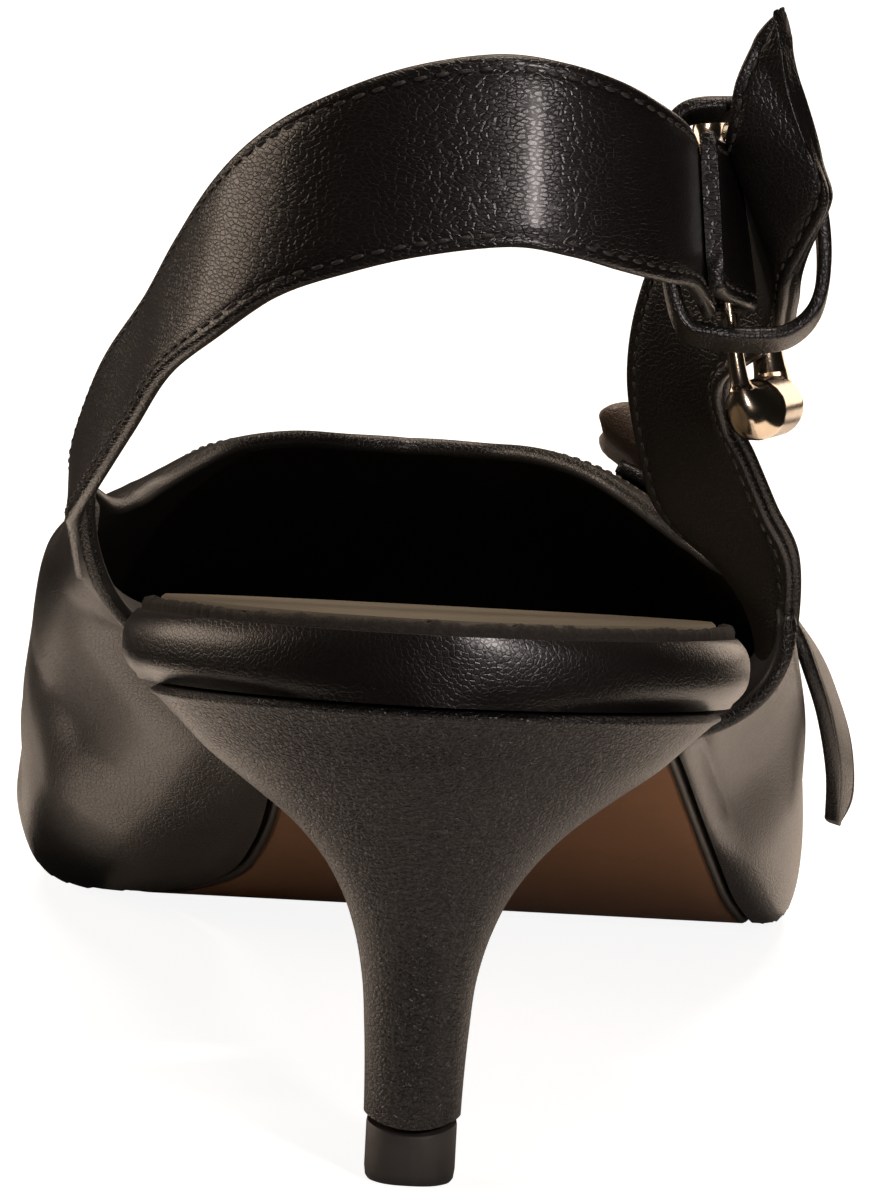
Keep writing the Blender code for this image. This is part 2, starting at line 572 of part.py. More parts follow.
def buckle_axes():
    _, bar, along, across, out = fold_rows()
    forward = unit(along - np.dot(along, across) * across + BUCKLE_TILT * out)
    outward = unit(np.cross(across, forward))
    if outward[0] < 0:
        outward = -outward
    return bar, across, forward, outward


def build_buckle_frame():
    """Polished frame: the sling strap's fold holds its rear bar, rounded ends stand past the strap's edges."""
    bar, longways, forward, outward = buckle_axes()
    half, depth, radius = BUCKLE_HALF_LONG, BUCKLE_DEPTH, BUCKLE_CORNER
    path = []
    for cx, cy, start in ((-1, -1, 270), (-1, 1, 180), (1, 1, 90), (1, -1, 0)):
        mid = np.array([cx * (half - radius), cy * (depth / 2 - radius) + depth / 2])
        for step in range(5):
            a = math.radians(start - step * 22.5)
            path.append(mid + radius * np.array([math.cos(a), math.sin(a)]))
    path = np.array(path)
    total = len(path)
    around = 8
    points = []
    for i in range(total):
        t = unit(path[(i + 1) % total] - path[i - 1])
        n = np.array([t[1], -t[0]])
        end = min(1.0, max(0.0, -path[i][0]) / half) ** 8
        slim = REAR_BAR if path[i][1] < 1.2 and abs(path[i][0]) < 0.9 * half else 1.0
        size = BUCKLE_BAR * slim * (1 + BUCKLE_FLARE * end)
        for k in range(around):
            a = 2 * math.pi * (k + 0.5) / around
            flat = path[i] + n * size * math.cos(a)
            deep = size * math.sin(a) + 0.6 * end
            points.append(bar + longways * (flat[0] - BUCKLE_DROP) + forward * flat[1] + outward * deep)
    return solid("buckle_frame", points, tube_faces(total, around, closed=True), (0.62, 0.52, 0.40), 0.22, 1.0)


def build_buckle_prong():
    """Pin that lies over the strap and rests on the front bar."""
    bar, longways, forward, outward = buckle_axes()
    around = 8
    points = []
    for reach, lift in ((7.4, 4.4), (9.2, 3.8), (11.0, 3.2), (13.2, 2.6), (16.4, 2.5), (17.0, 2.4)):
        for k in range(around):
            a = 2 * math.pi * k / around
            points.append(bar + forward * reach + outward * (lift + 0.62 * math.sin(a)) + longways
                          * 0.85 * math.cos(a))
    return solid("buckle_prong", points, tube_faces(6, around), (0.60, 0.50, 0.38), 0.24, 1.0)


def build_bow():
    """Bow on the outer side of the vamp: a band on the wall, a standing loop and a pointed tail that hangs free."""
    leather = (0.022, 0.019, 0.017)
    half = BOW_WIDTH / 2
    low = GAP + BOW_THICK / 2
    rows = [np.concatenate([on_upper(y - half, share, low + lift), on_upper(y + half, share, low + lift)])
            for y, share, lift in BOW_BAND]
    points, faces = strip(rows, 14, BOW_THICK)
    solid("vamp_band", points, faces, leather, 0.42)
    rows = [np.concatenate([on_upper(y - half * wide, share - 0.02, low + lift),
                            on_upper(y + half * wide, share - 0.02, low + lift + twist)])
            for y, share, lift, wide, twist in BOW_TAIL]
    points, faces = strip(rows, 16, BOW_THICK)
    solid("bow_tail", points, faces, leather, 0.42)
    build_bow_loop(leather)


def build_bow_loop(leather):
    """Ribbon folded fore and aft over the band; its round fold faces the heel."""
    low = 2 * GAP + BOW_THICK + LOOP_THICK / 2 + LOOP_CLEAR
    line = [(-0.80, 0.06), (-0.99, 0.38), (-0.95, 0.76), (-0.66, 1.0), (0.0, 1.02), (0.62, 0.86), (0.94, 0.55),
            (0.97, 0.25), (0.76, 0.02), (0.0, 0.0)]
    rows = []
    for reach, height in line:
        y, lift = LOOP_Y + reach * LOOP_HALF_LONG, low + height * LOOP_HEIGHT
        edges = [on_upper(y, share, lift) for share in LOOP_SHARES]
        rows.append(np.concatenate(edges))
    path = smooth(rows, 26, closed=True)
    centre = (path[:, :3] + path[:, 3:]) / 2
    tangent = np.roll(centre, -1, axis=0) - np.roll(centre, 1, axis=0)
    points = []
    for i in range(len(path)):
        across = unit(path[i, :3] - path[i, 3:])
        points += strip_ring(path[i, :3], path[i, 3:], unit(np.cross(tangent[i], across)), LOOP_THICK)
    solid("bow_loop", points, tube_faces(len(path), 10, closed=True), leather, 0.42)


def build():
    for obj in list(bpy.data.objects):
        bpy.data.objects.remove(obj, do_unlink=True)
    build_outsole()
    build_heel()
    build_heel_tip()
    build_heel_rand()
    build_insole()
    build_upper()
    build_sling_strap()
    build_quarter_strap()
    build_keeper()
    build_buckle_frame()
    build_buckle_prong()
    build_bow()


build()
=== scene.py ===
"""Looks of a right-foot slingback pump: black nappa, tan leather sole, pale gold buckle, leather bow."""
import math

import bmesh
import bpy
import numpy as np
from mathutils import Matrix, Vector
from mathutils.kdtree import KDTree


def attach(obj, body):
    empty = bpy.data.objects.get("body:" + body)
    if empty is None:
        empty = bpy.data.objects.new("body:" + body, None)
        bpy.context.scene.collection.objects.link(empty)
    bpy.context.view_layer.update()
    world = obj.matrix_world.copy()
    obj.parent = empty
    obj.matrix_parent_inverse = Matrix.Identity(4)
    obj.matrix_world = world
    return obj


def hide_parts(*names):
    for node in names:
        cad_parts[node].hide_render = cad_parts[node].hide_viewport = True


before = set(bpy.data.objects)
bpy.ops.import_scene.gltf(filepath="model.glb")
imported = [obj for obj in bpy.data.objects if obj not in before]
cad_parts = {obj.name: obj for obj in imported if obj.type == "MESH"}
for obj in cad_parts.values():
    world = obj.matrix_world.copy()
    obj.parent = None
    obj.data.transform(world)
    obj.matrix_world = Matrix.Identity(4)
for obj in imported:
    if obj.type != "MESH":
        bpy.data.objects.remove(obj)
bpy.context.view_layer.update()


# Sock: thin olive-beige leather glued over the insole board, crowned a little by the foam under it.
# It lies on the seat band at the back and runs forward inside the upper to the toes.
MM = 0.001
SOLE_THICK = 2.6
GAP = 0.3
HEEL_BACK = -21.0
TOE_TIP = 235.0
TREAD_BACK = 133.0
TREAD_FRONT = 154.0
SEAT_WIDTH = 60.0
SEAT_BAND = 7.0
BAND_FRONT = 58.0
BAND_FRONT_THICK = 1.4
SOCK_THICK = 1.2
SOCK_CROWN = 0.2
SOCK_INSET = 3.4
SOCK_WAIST_INSET = 3.8
SOCK_OLIVE = (0.112, 0.096, 0.064)

# Underside of the shoe along its length: y, z
UNDERSIDE = [(-22, 48.8), (-10, 47.3), (0, 46.0), (12, 44.2), (22, 42.6), (30, 41.0), (38, 38.6), (50, 34.2),
             (62, 29.4), (80, 20.7), (97, 12.4), (110, 6.9), (120, 3.4), (129, 0.9), (136, 0.0), (152, 0.0),
             (170, 0.7), (190, 2.5), (210, 4.9), (235, 8.6)]

# Sole outline: y, medial x, lateral x
OUTLINE = [(28, -19.5, 21.0), (40, -17.6, 22.6), (60, -16.2, 24.9), (80, -16.2, 27.9), (95, -17.7, 30.3),
           (110, -20.6, 32.4), (122, -25.6, 34.2), (132, -31.6, 35.3), (142, -34.8, 35.6), (153, -35.4, 34.8),
           (168, -33.6, 31.4), (184, -29.4, 26.0), (200, -23.0, 19.0), (214, -16.4, 12.0), (226, -10.2, 6.0),
           (235, -5.2, 0.2)]


def along(table, at, column):
    """One column of a table at the lengths in at, by a smooth cubic through its rows."""
    rows = np.array(table, float)
    xs, ys = rows[:, 0], rows[:, column]
    slope = np.gradient(ys, xs)
    at = np.clip(at, xs[0], xs[-1])
    i = np.clip(np.searchsorted(xs, at, side="right") - 1, 0, len(xs) - 2)
    h = xs[i + 1] - xs[i]
    t = (at - xs[i]) / h
    return ((2 * t ** 3 - 3 * t ** 2 + 1) * ys[i] + (t ** 3 - 2 * t ** 2 + t) * h * slope[i]
            + (3 * t ** 2 - 2 * t ** 3) * ys[i + 1] + (t ** 3 - t ** 2) * h * slope[i + 1])


def ease(x, low, high):
    """Smooth step from 0 at low to 1 at high."""
    t = np.clip((np.asarray(x, float) - low) / (high - low), 0, 1)
    return t * t * (3 - 2 * t)


def underside(y):
    y = np.asarray(y, float)
    return np.where((y > TREAD_BACK) & (y < TREAD_FRONT), 0.0, np.maximum(0.0, along(UNDERSIDE, y, 1)))


def outline_x(y, side):
    return along(OUTLINE, y, 1 if side < 0 else 2)


def band_top(y):
    """Top of the seat band: level at the back, tapering to the shank."""
    fall = (SEAT_BAND - SOLE_THICK - BAND_FRONT_THICK) * np.clip((y - 26) / 34, 0.0, 1.0) ** 0.9
    return underside(y) + SEAT_BAND - fall


def seat_half(y, widest, back):
    """Half-width of the seat's plan: a round back that flows into the waist."""
    turn = 17.0
    if y < turn:
        return widest * math.sqrt(max(0.0, 1 - ((turn - y) / (turn - back)) ** 2.25))
    return widest - 0.0125 * (y - turn) ** 1.75


def inner_edges(y, half, inset):
    """Medial and lateral edges that leave the seat's round plan for the waist between the quarters."""
    blend = float(ease(y, 29, 42))
    left = -half * (1 - blend) + (outline_x(max(y, 28), -1) + inset) * blend
    right = half * (1 - blend) + (outline_x(max(y, 28), 1) - inset) * blend
    return left, right


def add_object(name, data):
    made = bpy.data.objects.new(name, data)
    bpy.context.collection.objects.link(made)
    return made


def leather_mesh(name, points, faces, finishes, turn):
    """A closed piece from points in millimetres, normals outwards, sharp past turn degrees."""
    mesh = bpy.data.meshes.new(name)
    mesh.from_pydata((np.asarray(points, float) * MM).tolist(), [], faces)
    edit = bmesh.new()
    edit.from_mesh(mesh)
    bmesh.ops.remove_doubles(edit, verts=edit.verts, dist=2e-6)
    bmesh.ops.recalc_face_normals(edit, faces=edit.faces)
    if edit.calc_volume(signed=True) < 0:
        bmesh.ops.reverse_faces(edit, faces=edit.faces)
    edit.to_mesh(mesh)
    edit.free()
    mesh.shade_smooth()
    mesh.set_sharp_from_angle(angle=math.radians(turn))
    for finish in finishes:
        mesh.materials.append(finish)
    return add_object(name, mesh)


def loft(name, rings, finishes, closed=False, turn=40, capped=True):
    """A closed body through rings of points, capped where it is open."""
    rings = np.asarray(rings, float)
    count, around = rings.shape[:2]
    faces = []
    for i in range(count if closed else count - 1):
        j = (i + 1) % count
        for k in range(around):
            m = (k + 1) % around
            faces.append((i * around + k, i * around + m, j * around + m, j * around + k))
    if capped and not closed:
        faces.append(tuple(range(around - 1, -1, -1)))
        faces.append(tuple((count - 1) * around + k for k in range(around)))
    return leather_mesh(name, rings.reshape(-1, 3), faces, finishes, turn)


def feed(tree, socket, value):
    """Link a wire to a socket, or set the socket to a plain value."""
    if isinstance(value, Wire):
        tree.links.new(value.socket, socket)
    else:
        socket.default_value = value


class Wire:
    """A shader socket that can be added to, scaled and stepped as a number."""

    def __init__(self, tree, socket):
        self.tree, self.socket = tree, socket

    def _math(self, operation, first, second):
        node = self.tree.nodes.new("ShaderNodeMath")
        node.operation = operation
        feed(self.tree, node.inputs[0], first)
        feed(self.tree, node.inputs[1], second)
        return Wire(self.tree, node.outputs[0])

    def __add__(self, other):
        return self._math("ADD", self, other)

    def __radd__(self, other):
        return self._math("ADD", other, self)

    def __rsub__(self, other):
        return self._math("SUBTRACT", other, self)

    def __mul__(self, other):
        return self._math("MULTIPLY", self, other)

    def smaller(self, other):
        return self._math("MINIMUM", self, other)

    def step(self, low, high):
        """0 below low, 1 above high, smooth between."""
        node = self.tree.nodes.new("ShaderNodeMapRange")
        node.interpolation_type = "SMOOTHSTEP"
        node.inputs["From Min"].default_value = low
        node.inputs["From Max"].default_value = high
        self.tree.links.new(self.socket, node.inputs["Value"])
        return Wire(self.tree, node.outputs["Result"])


class Finish:
    """A material under construction: nodes and textures, and one method to lead values to the shader."""

    def __init__(self, name, **fixed):
        self.material = bpy.data.materials.new(name)
        self.material.use_nodes = True
        self.tree = self.material.node_tree
        self.shader = self.tree.nodes["Principled BSDF"]
        for socket, value in fixed.items():
            self.shader.inputs[socket.replace("_", " ")].default_value = value

    def node(self, kind, settings=None, out=0, **values):
        made = self.tree.nodes.new(kind)
        for key, value in (settings or {}).items():
            setattr(made, key, value)
        for key, value in values.items():
            feed(self.tree, made.inputs[key.replace("_", " ")], value)
        return Wire(self.tree, made.outputs[out])

    def place(self, cells):
        """Object coordinates scaled to this many cells a metre, one number or one for each axis."""
        spot = self.node("ShaderNodeTexCoord", out="Object")
        scale = cells if isinstance(cells, tuple) else (cells,) * 3
        return self.node("ShaderNodeMapping", Vector=spot, Scale=scale)

    def noise(self, cells, detail, roughness=0.5, out=0):
        return self.node("ShaderNodeTexNoise", out=out, Vector=self.place(cells), Scale=1.0, Detail=detail,
                         Roughness=roughness)

    def cell_edges(self, spot, randomness):
        """Distance to the nearest border between cells."""
        return self.node("ShaderNodeTexVoronoi", {"feature": "DISTANCE_TO_EDGE"}, out="Distance", Vector=spot,
                         Scale=1.0, Randomness=randomness)

    def mix(self, share, first, second):
        """The first colour turned to the second by share; each is a wire or three numbers."""
        made = self.tree.nodes.new("ShaderNodeMix")
        made.data_type = "RGBA"
        for slot, value in ((0, share), (6, first), (7, second)):
            feed(self.tree, made.inputs[slot], value if isinstance(value, Wire) else (*value, 1.0))
        return Wire(self.tree, made.outputs[2])

    def lead(self, socket, wire):
        self.tree.links.new(wire.socket, self.shader.inputs[socket])

    def relief(self, height, depth_mm):
        """Bump of the given depth in millimetres."""
        self.lead("Normal", self.node("ShaderNodeBump", Height=height, Distance=depth_mm * MM))


def shade(colour, factor):
    return tuple(c * factor for c in colour)


def sock_leather():
    made = Finish("sock_leather", IOR=1.45)
    grain = made.cell_edges(made.place(1600), 0.9)
    cloud = made.noise(60, 4.0)
    made.lead("Base Color", made.mix(cloud.step(0.3, 0.7), SOCK_OLIVE, shade(SOCK_OLIVE, 0.8)))
    made.lead("Roughness", 0.62 + cloud * 0.14)
    made.relief(grain.smaller(0.12) * 4.0 + cloud, 0.03)
    return made.material


def make_sock():
    ys = np.concatenate([HEEL_BACK + np.array([3.3, 3.45, 3.8, 4.4, 5.3, 6.5, 8.1, 10.3, 12.8, 15.8]),
                         np.linspace(-4, 60, 40), np.linspace(62, 211, 60), [211.6, 212.0]])
    rings = []
    for y in ys:
        low = band_top(y) + GAP
        if y >= BAND_FRONT:
            low = underside(y) + SOLE_THICK + GAP + BAND_FRONT_THICK * max(0.0, 1 - (y - BAND_FRONT) / 14)
        half = seat_half(y, SEAT_WIDTH / 2 - SOCK_INSET, HEEL_BACK + 3.2) if y < 60 else 20.0
        left, right = inner_edges(float(y), half, SOCK_WAIST_INSET)
        middle, reach = (left + right) / 2, (right - left) / 2
        ends = 1.0 if 16 < y < 211 else 0.75
        ring = []
        for across in np.linspace(0, math.pi, 25):
            c = math.cos(across)
            crown = SOCK_CROWN * (1 - c * c) * float(ease(y, -20, 0) * (1 - ease(y, 190, 212)))
            rise = 0.5 + 0.5 * min(1.0, math.sin(across) * 4) * ends
            ring.append((middle + reach * math.copysign(abs(c) ** 0.5, c), y, low + SOCK_THICK * rise + crown))
        for across in np.linspace(math.pi, 0, 9)[1:-1]:
            ring.append((middle + reach * 0.97 * math.cos(across), y, low))
        rings.append(ring)
    return loft("sock", rings, [sock_leather()])


sock = make_sock()
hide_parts("insole")
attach(sock, "root")


# Seat band: black leather pulled round the edge of the insole board under the heel and glued beneath.
# Its cut edge stands up round the sock as a thin rough line.
BLACK = (0.0062, 0.0053, 0.0048)
BAND_INSET = 3.4
BAND_STEP = 27.5
RAW_EDGE_HIGH = 1.15
RAW_EDGE_THICK = 0.9
RAW_EDGE_INSET = 2.2


def nappa(name, stretch=(1.0, 1.0, 1.0), gloss=0.30, grain=0.055, tone=BLACK, crinkle=0.0):
    """Black leather with a fine grain, longer along an axis where stretch is below 1, and a wider crinkle."""
    made = Finish(name, IOR=1.5, Coat_Roughness=0.22)
    cells = made.cell_edges(made.place(tuple(1950 * s for s in stretch)), 0.95)
    fine = made.noise(tuple(2600 * s for s in stretch), 3.0, 0.6)
    skin, patch = made.noise(230, 5.0), made.noise(38, 3.0)
    made.lead("Base Color", made.mix(patch.step(0.35, 0.7) * 0.6, tone, shade(tone, 1.35)))
    made.lead("Roughness", gloss + patch * 0.10 + skin * 0.05 + (1 - cells.smaller(0.10) * 10.0) * 0.05)
    made.lead("Coat Weight", 0.10 + patch * 0.08)
    height = cells.smaller(0.16) * 3.4 + fine * 0.7 + skin * 1.6
    if crinkle:
        bent = made.tree.nodes.new("ShaderNodeVectorMath")
        bent.operation = "MULTIPLY_ADD"
        feed(made.tree, bent.inputs[0], made.noise(700, 2.0, out="Color"))
        feed(made.tree, bent.inputs[1], (0.9, 0.9, 0.9))
        feed(made.tree, bent.inputs[2], made.place((1500, 1500, 1900)))
        folds = made.cell_edges(Wire(made.tree, bent.outputs[0]), 1.0)
        height = height * (grain / crinkle) + folds.smaller(0.22) * 4.2
    made.relief(height, crinkle or grain)
    return made.material


def raw_edge(name, tone):
    """Cut leather edge: matt, fibrous, a little lighter than the face."""
    made = Finish(name, IOR=1.4)
    fibre = made.noise(2400, 6.0, 0.75)
    made.lead("Base Color", made.mix(fibre.step(0.35, 0.65), tone, shade(tone, 2.1)))
    made.lead("Roughness", 0.78 + fibre * 0.15)
    made.relief(fibre, 0.16)
    return made.material


def seat_ring(y):
    """One section of the seat band, from the lateral top corner under the seat to the medial one."""
    low = float(underside(y)) + GAP + (SOLE_THICK if y > BAND_STEP else 0.0)
    high = float(band_top(y))
    left, right = inner_edges(float(y), seat_half(y, SEAT_WIDTH / 2, HEEL_BACK), BAND_INSET)
    bulge = min(1.7 if y < 30 else 0.8, (right - left) * 0.2)
    share = np.linspace(0, 1, 15)
    curve = np.clip(np.abs(share * 2 - 1.08), 0, 1) ** 2.6 * bulge
    ring = [(right - d, y, low + (high - low) * s) for s, d in zip(share, curve)]
    ring += [(left + d, y, low + (high - low) * s) for s, d in zip(share[::-1], curve[::-1])]
    return ring


def make_seat_band(finish):
    back = np.array([0.05, 0.16, 0.35, 0.65, 1.05, 1.6, 2.3, 3.1, 4.0, 5.2, 6.6, 8.2, 10, 12.4, 15])
    ys = np.concatenate([HEEL_BACK + back, np.linspace(-3.5, 27, 28), [27.8, 28.3], np.linspace(30, 57, 24)])
    return loft("seat_band", [seat_ring(y) for y in ys], [finish], turn=50)


def edge_path(inset):
    """Line round the top of the seat band, from the lateral side round the back to the medial side."""
    right, left = [], []
    round_back = HEEL_BACK - HEEL_BACK * np.cos(np.linspace(0, math.pi / 2, 60))
    for y in np.concatenate([np.linspace(46, 0, 70), round_back]):
        y = float(max(y, HEEL_BACK + inset + 0.02))
        a, b = inner_edges(y, seat_half(y, SEAT_WIDTH / 2 - inset, HEEL_BACK + inset), BAND_INSET + inset)
        right.append((b, y, float(band_top(y))))
        left.append((a, y, float(band_top(y))))
    return np.array(right + left[::-1])


def unit(vectors):
    """One vector or rows of them, brought to length 1."""
    vectors = np.asarray(vectors, float)
    return vectors / np.maximum(np.linalg.norm(vectors, axis=-1, keepdims=True), 1e-9)


def run_length(points):
    """Length along a line at each of its points."""
    return np.concatenate([[0], np.cumsum(np.linalg.norm(np.diff(points, axis=0), axis=1))])


def even(points, count):
    """The same line sampled evenly by length."""
    length = run_length(points)
    wanted = np.linspace(0, length[-1], count)
    return np.stack([np.interp(wanted, length, points[:, k]) for k in range(points.shape[1])], axis=1)


def make_raw_edge():
    """Rough strip that stands on the band's top, wavy as a cut hide edge is."""
    path = even(edge_path(RAW_EDGE_INSET), 720)
    rng = np.random.default_rng(11)
    rough = np.convolve(rng.normal(0, 1, len(path) + 8), np.ones(3) / 3, "same")[4:-4]
    wave = np.convolve(rng.normal(0, 1, len(path) + 80), np.ones(40) / 40, "same")[40:-40]
    side = unit(np.cross(np.gradient(path, axis=0), (0, 0, 1.0)))
    section = ((-0.5, -1.0), (-0.5, 0.55), (-0.3, 0.92), (0.0, 1.0), (0.3, 0.92), (0.5, 0.55), (0.5, -1.0))
    rings = []
    for spot, out, a, b in zip(path, side, rough, wave):
        thick, high = RAW_EDGE_THICK * (1 + 0.16 * a), RAW_EDGE_HIGH + 0.16 * a + 0.5 * b
        rings.append([spot + out * across * thick + np.array([0, 0, high * up]) for across, up in section])
    return loft("seat_band_raw_edge", rings, [raw_edge("seat_raw_edge", (0.012, 0.010, 0.008))], turn=60)


black_nappa = nappa("black_nappa")
seat_band = make_seat_band(nappa("seat_nappa", gloss=0.27, grain=0.03))
seat_edge = make_raw_edge()
for piece in (seat_band, seat_edge):
    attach(piece, "root")
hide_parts("heel_rand")


# Upper: vamp and quarters of black nappa with a black lining, pulled over a pointed last and under the
# insole. The topline is a folded edge with a row of stitches; creases run in from the strap joints.
WALL = 1.8
THROAT_Y = 114.0
SPLIT = 0.34
LATERAL_FALL = 1.05
SKIRT = 0.1
FOOT_OUT = 0.15
FOLD_LIFT = 0.10
RIBS = 260
ROWS = 66

# Last sections: y, widest medial x, z, widest lateral x, z, crest x, z, roundness of the turn
SECTIONS = [(28, -35.0, 59.0, 34.2, 53.0, -2.0, 86.0, 1.0), (40, -36.2, 57.5, 34.9, 47.5, -4.0, 88.0, 1.0),
            (50, -37.0, 54.0, 35.4, 45.0, -5.0, 74.0, 1.0), (60, -37.8, 50.5, 35.8, 43.4, -6.0, 58.4, 1.0),
            (68, -38.6, 47.0, 36.0, 42.0, -6.0, 57.4, 1.0), (80, -39.8, 41.5, 36.9, 36.5, -6.0, 57.6, 0.96),
            (90, -40.6, 36.0, 37.7, 31.0, -6.0, 58.0, 0.90), (100, -41.3, 30.0, 38.4, 26.0, -6.0, 57.6, 0.80),
            (107, -41.8, 26.0, 38.9, 22.5, -5.0, 56.0, 0.72), (114, -42.4, 22.0, 39.3, 19.5, -4.0, 53.5, 0.66),
            (125, -43.2, 17.5, 39.9, 16.5, -2.5, 48.4, 0.60), (140, -43.4, 14.8, 40.0, 14.2, -2.0, 41.0, 0.56),
            (155, -41.8, 13.6, 38.2, 13.2, -2.0, 34.6, 0.58), (170, -38.2, 13.0, 33.6, 12.8, -2.2, 29.4, 0.62),
            (185, -32.2, 13.0, 27.4, 13.0, -2.4, 25.4, 0.68), (200, -25.2, 13.6, 20.2, 13.6, -2.6, 22.2, 0.74),
            (214, -18.2, 14.4, 13.0, 14.4, -2.7, 19.6, 0.80), (226, -11.6, 15.0, 6.4, 15.0, -2.7, 17.8, 0.88),
            (237, -4.2, 15.4, -1.2, 15.4, -2.7, 16.6, 0.95)]

# Top edge from the medial strap joint round the throat to the lateral one: side, y, z
TOPLINE = [(-1, 33.0, 58.0), (-1, 35.5, 60.0), (-1, 40.0, 61.4), (-1, 46.0, 59.4), (-1, 52.0, 57.0),
           (-1, 60.0, 54.4), (-1, 68.0, 53.6), (-1, 80.0, 53.2), (-1, 90.0, 53.9), (-1, 100.0, 54.6),
           (-1, 107.0, 54.7), (-1, 112.0, 53.9), (0, THROAT_Y, 53.4), (1, 112.0, 53.7), (1, 107.0, 54.3),
           (1, 98.0, 54.0), (1, 88.0, 52.8), (1, 76.0, 52.0), (1, 67.0, 52.2), (1, 61.5, 51.0),
           (1, 57.0, 49.4), (1, 50.0, 46.8)]

# Feather line, where the wall turns under: side, y
FEATHER = [(-1, 42.5), (-1, 50.0), (-1, 60.0), (-1, 72.0), (-1, 86.0), (-1, 100.0), (-1, 114.0), (-1, 128.0),
           (-1, 144.0), (-1, 162.0), (-1, 182.0), (-1, 204.0), (0, TOE_TIP + 0.4), (1, 204.0), (1, 182.0),
           (1, 160.0), (1, 140.0), (1, 122.0), (1, 104.0), (1, 86.0), (1, 70.0), (1, 50.0)]

# Creases and soft hollows: side, y and z of the start, y and z of the end, width, depth (minus goes inwards)
CREASES = [(-1, 46, 37, 62, 31, 7.0, -5.5), (-1, 64, 35, 92, 24, 6.5, -2.6), (-1, 74, 47, 118, 26, 8.0, 1.0),
           (-1, 104, 16, 134, 10, 4.0, 0.5), (-1, 96, 22, 124, 13, 3.0, -0.5),
           (-1, 118, 26, 146, 15, 4.0, -0.4), (-1, 140, 34, 156, 22, 4.0, -0.25),
           (1, 62, 36, 84, 22, 8.0, -3.4), (1, 72, 48, 104, 32, 6.0, 0.5), (1, 112, 24, 140, 13, 5.0, -0.5),
           (1, 140, 33, 158, 22, 4.0, -0.25)]


def smooth(rows, count, closed=False):
    """Spline through the rows, sampled evenly by length."""
    rows = np.array(rows, float)
    total = len(rows)
    dense = []
    for i in range(total if closed else total - 1):
        if closed:
            p0, p1, p2, p3 = (rows[(i + k) % total] for k in (-1, 0, 1, 2))
        else:
            p0, p1, p2, p3 = rows[max(i - 1, 0)], rows[i], rows[i + 1], rows[min(i + 2, total - 1)]
        for t in np.linspace(0, 1, 40, endpoint=False):
            dense.append(0.5 * (2 * p1 + (p2 - p0) * t + (2 * p0 - 5 * p1 + 4 * p2 - p3) * t * t
                                + (3 * p1 - p0 - 3 * p2 + p3) * t ** 3))
    dense.append(rows[0] if closed else rows[-1])
    out = even(np.array(dense), count + 1 if closed else count)
    return out[:-1] if closed else out


def section_values(side, y):
    """Foot, widest and crest points and the roundness of the turn, for arrays of side and y."""
    medial = side < 0
    wide_x = np.where(medial, along(SECTIONS, y, 1), along(SECTIONS, y, 3))
    wide_z = np.where(medial, along(SECTIONS, y, 2), along(SECTIONS, y, 4))
    crest_x, crest_z = along(SECTIONS, y, 5), along(SECTIONS, y, 6)
    sole_y = np.minimum(y, TOE_TIP)
    foot_x = np.where(medial, outline_x(sole_y, -1), outline_x(sole_y, 1))
    foot_x = foot_x + np.copysign(FOOT_OUT, foot_x - crest_x)
    return foot_x, underside(sole_y) + SKIRT, wide_x, wide_z, crest_x, crest_z, along(SECTIONS, y, 7)


def wall(side, y, share):
    """Outer surface of the upper: share 0 at the feather line, 1 at the crest."""
    foot_x, foot_z, wide_x, wide_z, crest_x, crest_z, turn = section_values(side, y)
    low = np.clip(share / SPLIT, 0, 1) * math.pi / 2
    high = np.clip((share - SPLIT) / (1 - SPLIT), 0, 1) * math.pi / 2
    fall = np.where(side < 0, 1.0, LATERAL_FALL)
    x = np.where(share < SPLIT, foot_x + (wide_x - foot_x) * np.sin(low) ** turn,
                 crest_x + (wide_x - crest_x) * np.maximum(np.cos(high), 0.0) ** 0.98)
    z = np.where(share < SPLIT, wide_z - (wide_z - foot_z) * np.maximum(np.cos(low), 0.0) ** turn,
                 wide_z + (crest_z - wide_z) * np.sin(high) ** fall)
    return x, z


def share_at(side, y, z):
    """Share of the section where the surface reaches height z."""
    _, foot_z, _, wide_z, _, crest_z, turn = (float(v) for v in section_values(side, np.float64(y)))
    if z < wide_z:
        fall = min(max((wide_z - z) / (wide_z - foot_z), 0.0), 1.0)
        return SPLIT * math.acos(fall ** (1 / turn)) / (math.pi / 2)
    rise = min((z - wide_z) / (crest_z - wide_z), 1.0) ** (1 / (1.0 if side < 0 else LATERAL_FALL))
    return SPLIT + (1 - SPLIT) * math.asin(rise) / (math.pi / 2)


def on_upper(y, share, lift, side=1):
    """A point lifted off the wall along its normal."""
    y, share = np.float64(y), np.float64(share)
    x, z = wall(side, y, share)
    xa, za = wall(side, y, share + 0.01)
    xb, zb = wall(side, y + 0.5, share)
    normal = unit(np.cross((xa - x, 0.0, za - z), (xb - x, 0.5, zb - z)))
    if normal[0] * side < 0:
        normal = -normal
    return np.array([x, y, z]) + normal * lift


def grid_normals(grid):
    normal = unit(np.cross(np.gradient(grid, axis=0), np.gradient(grid, axis=1)))
    if np.mean(np.sum(normal * (grid - np.array([0.0, 110.0, 30.0])), axis=2)) < 0:
        normal = -normal
    return normal


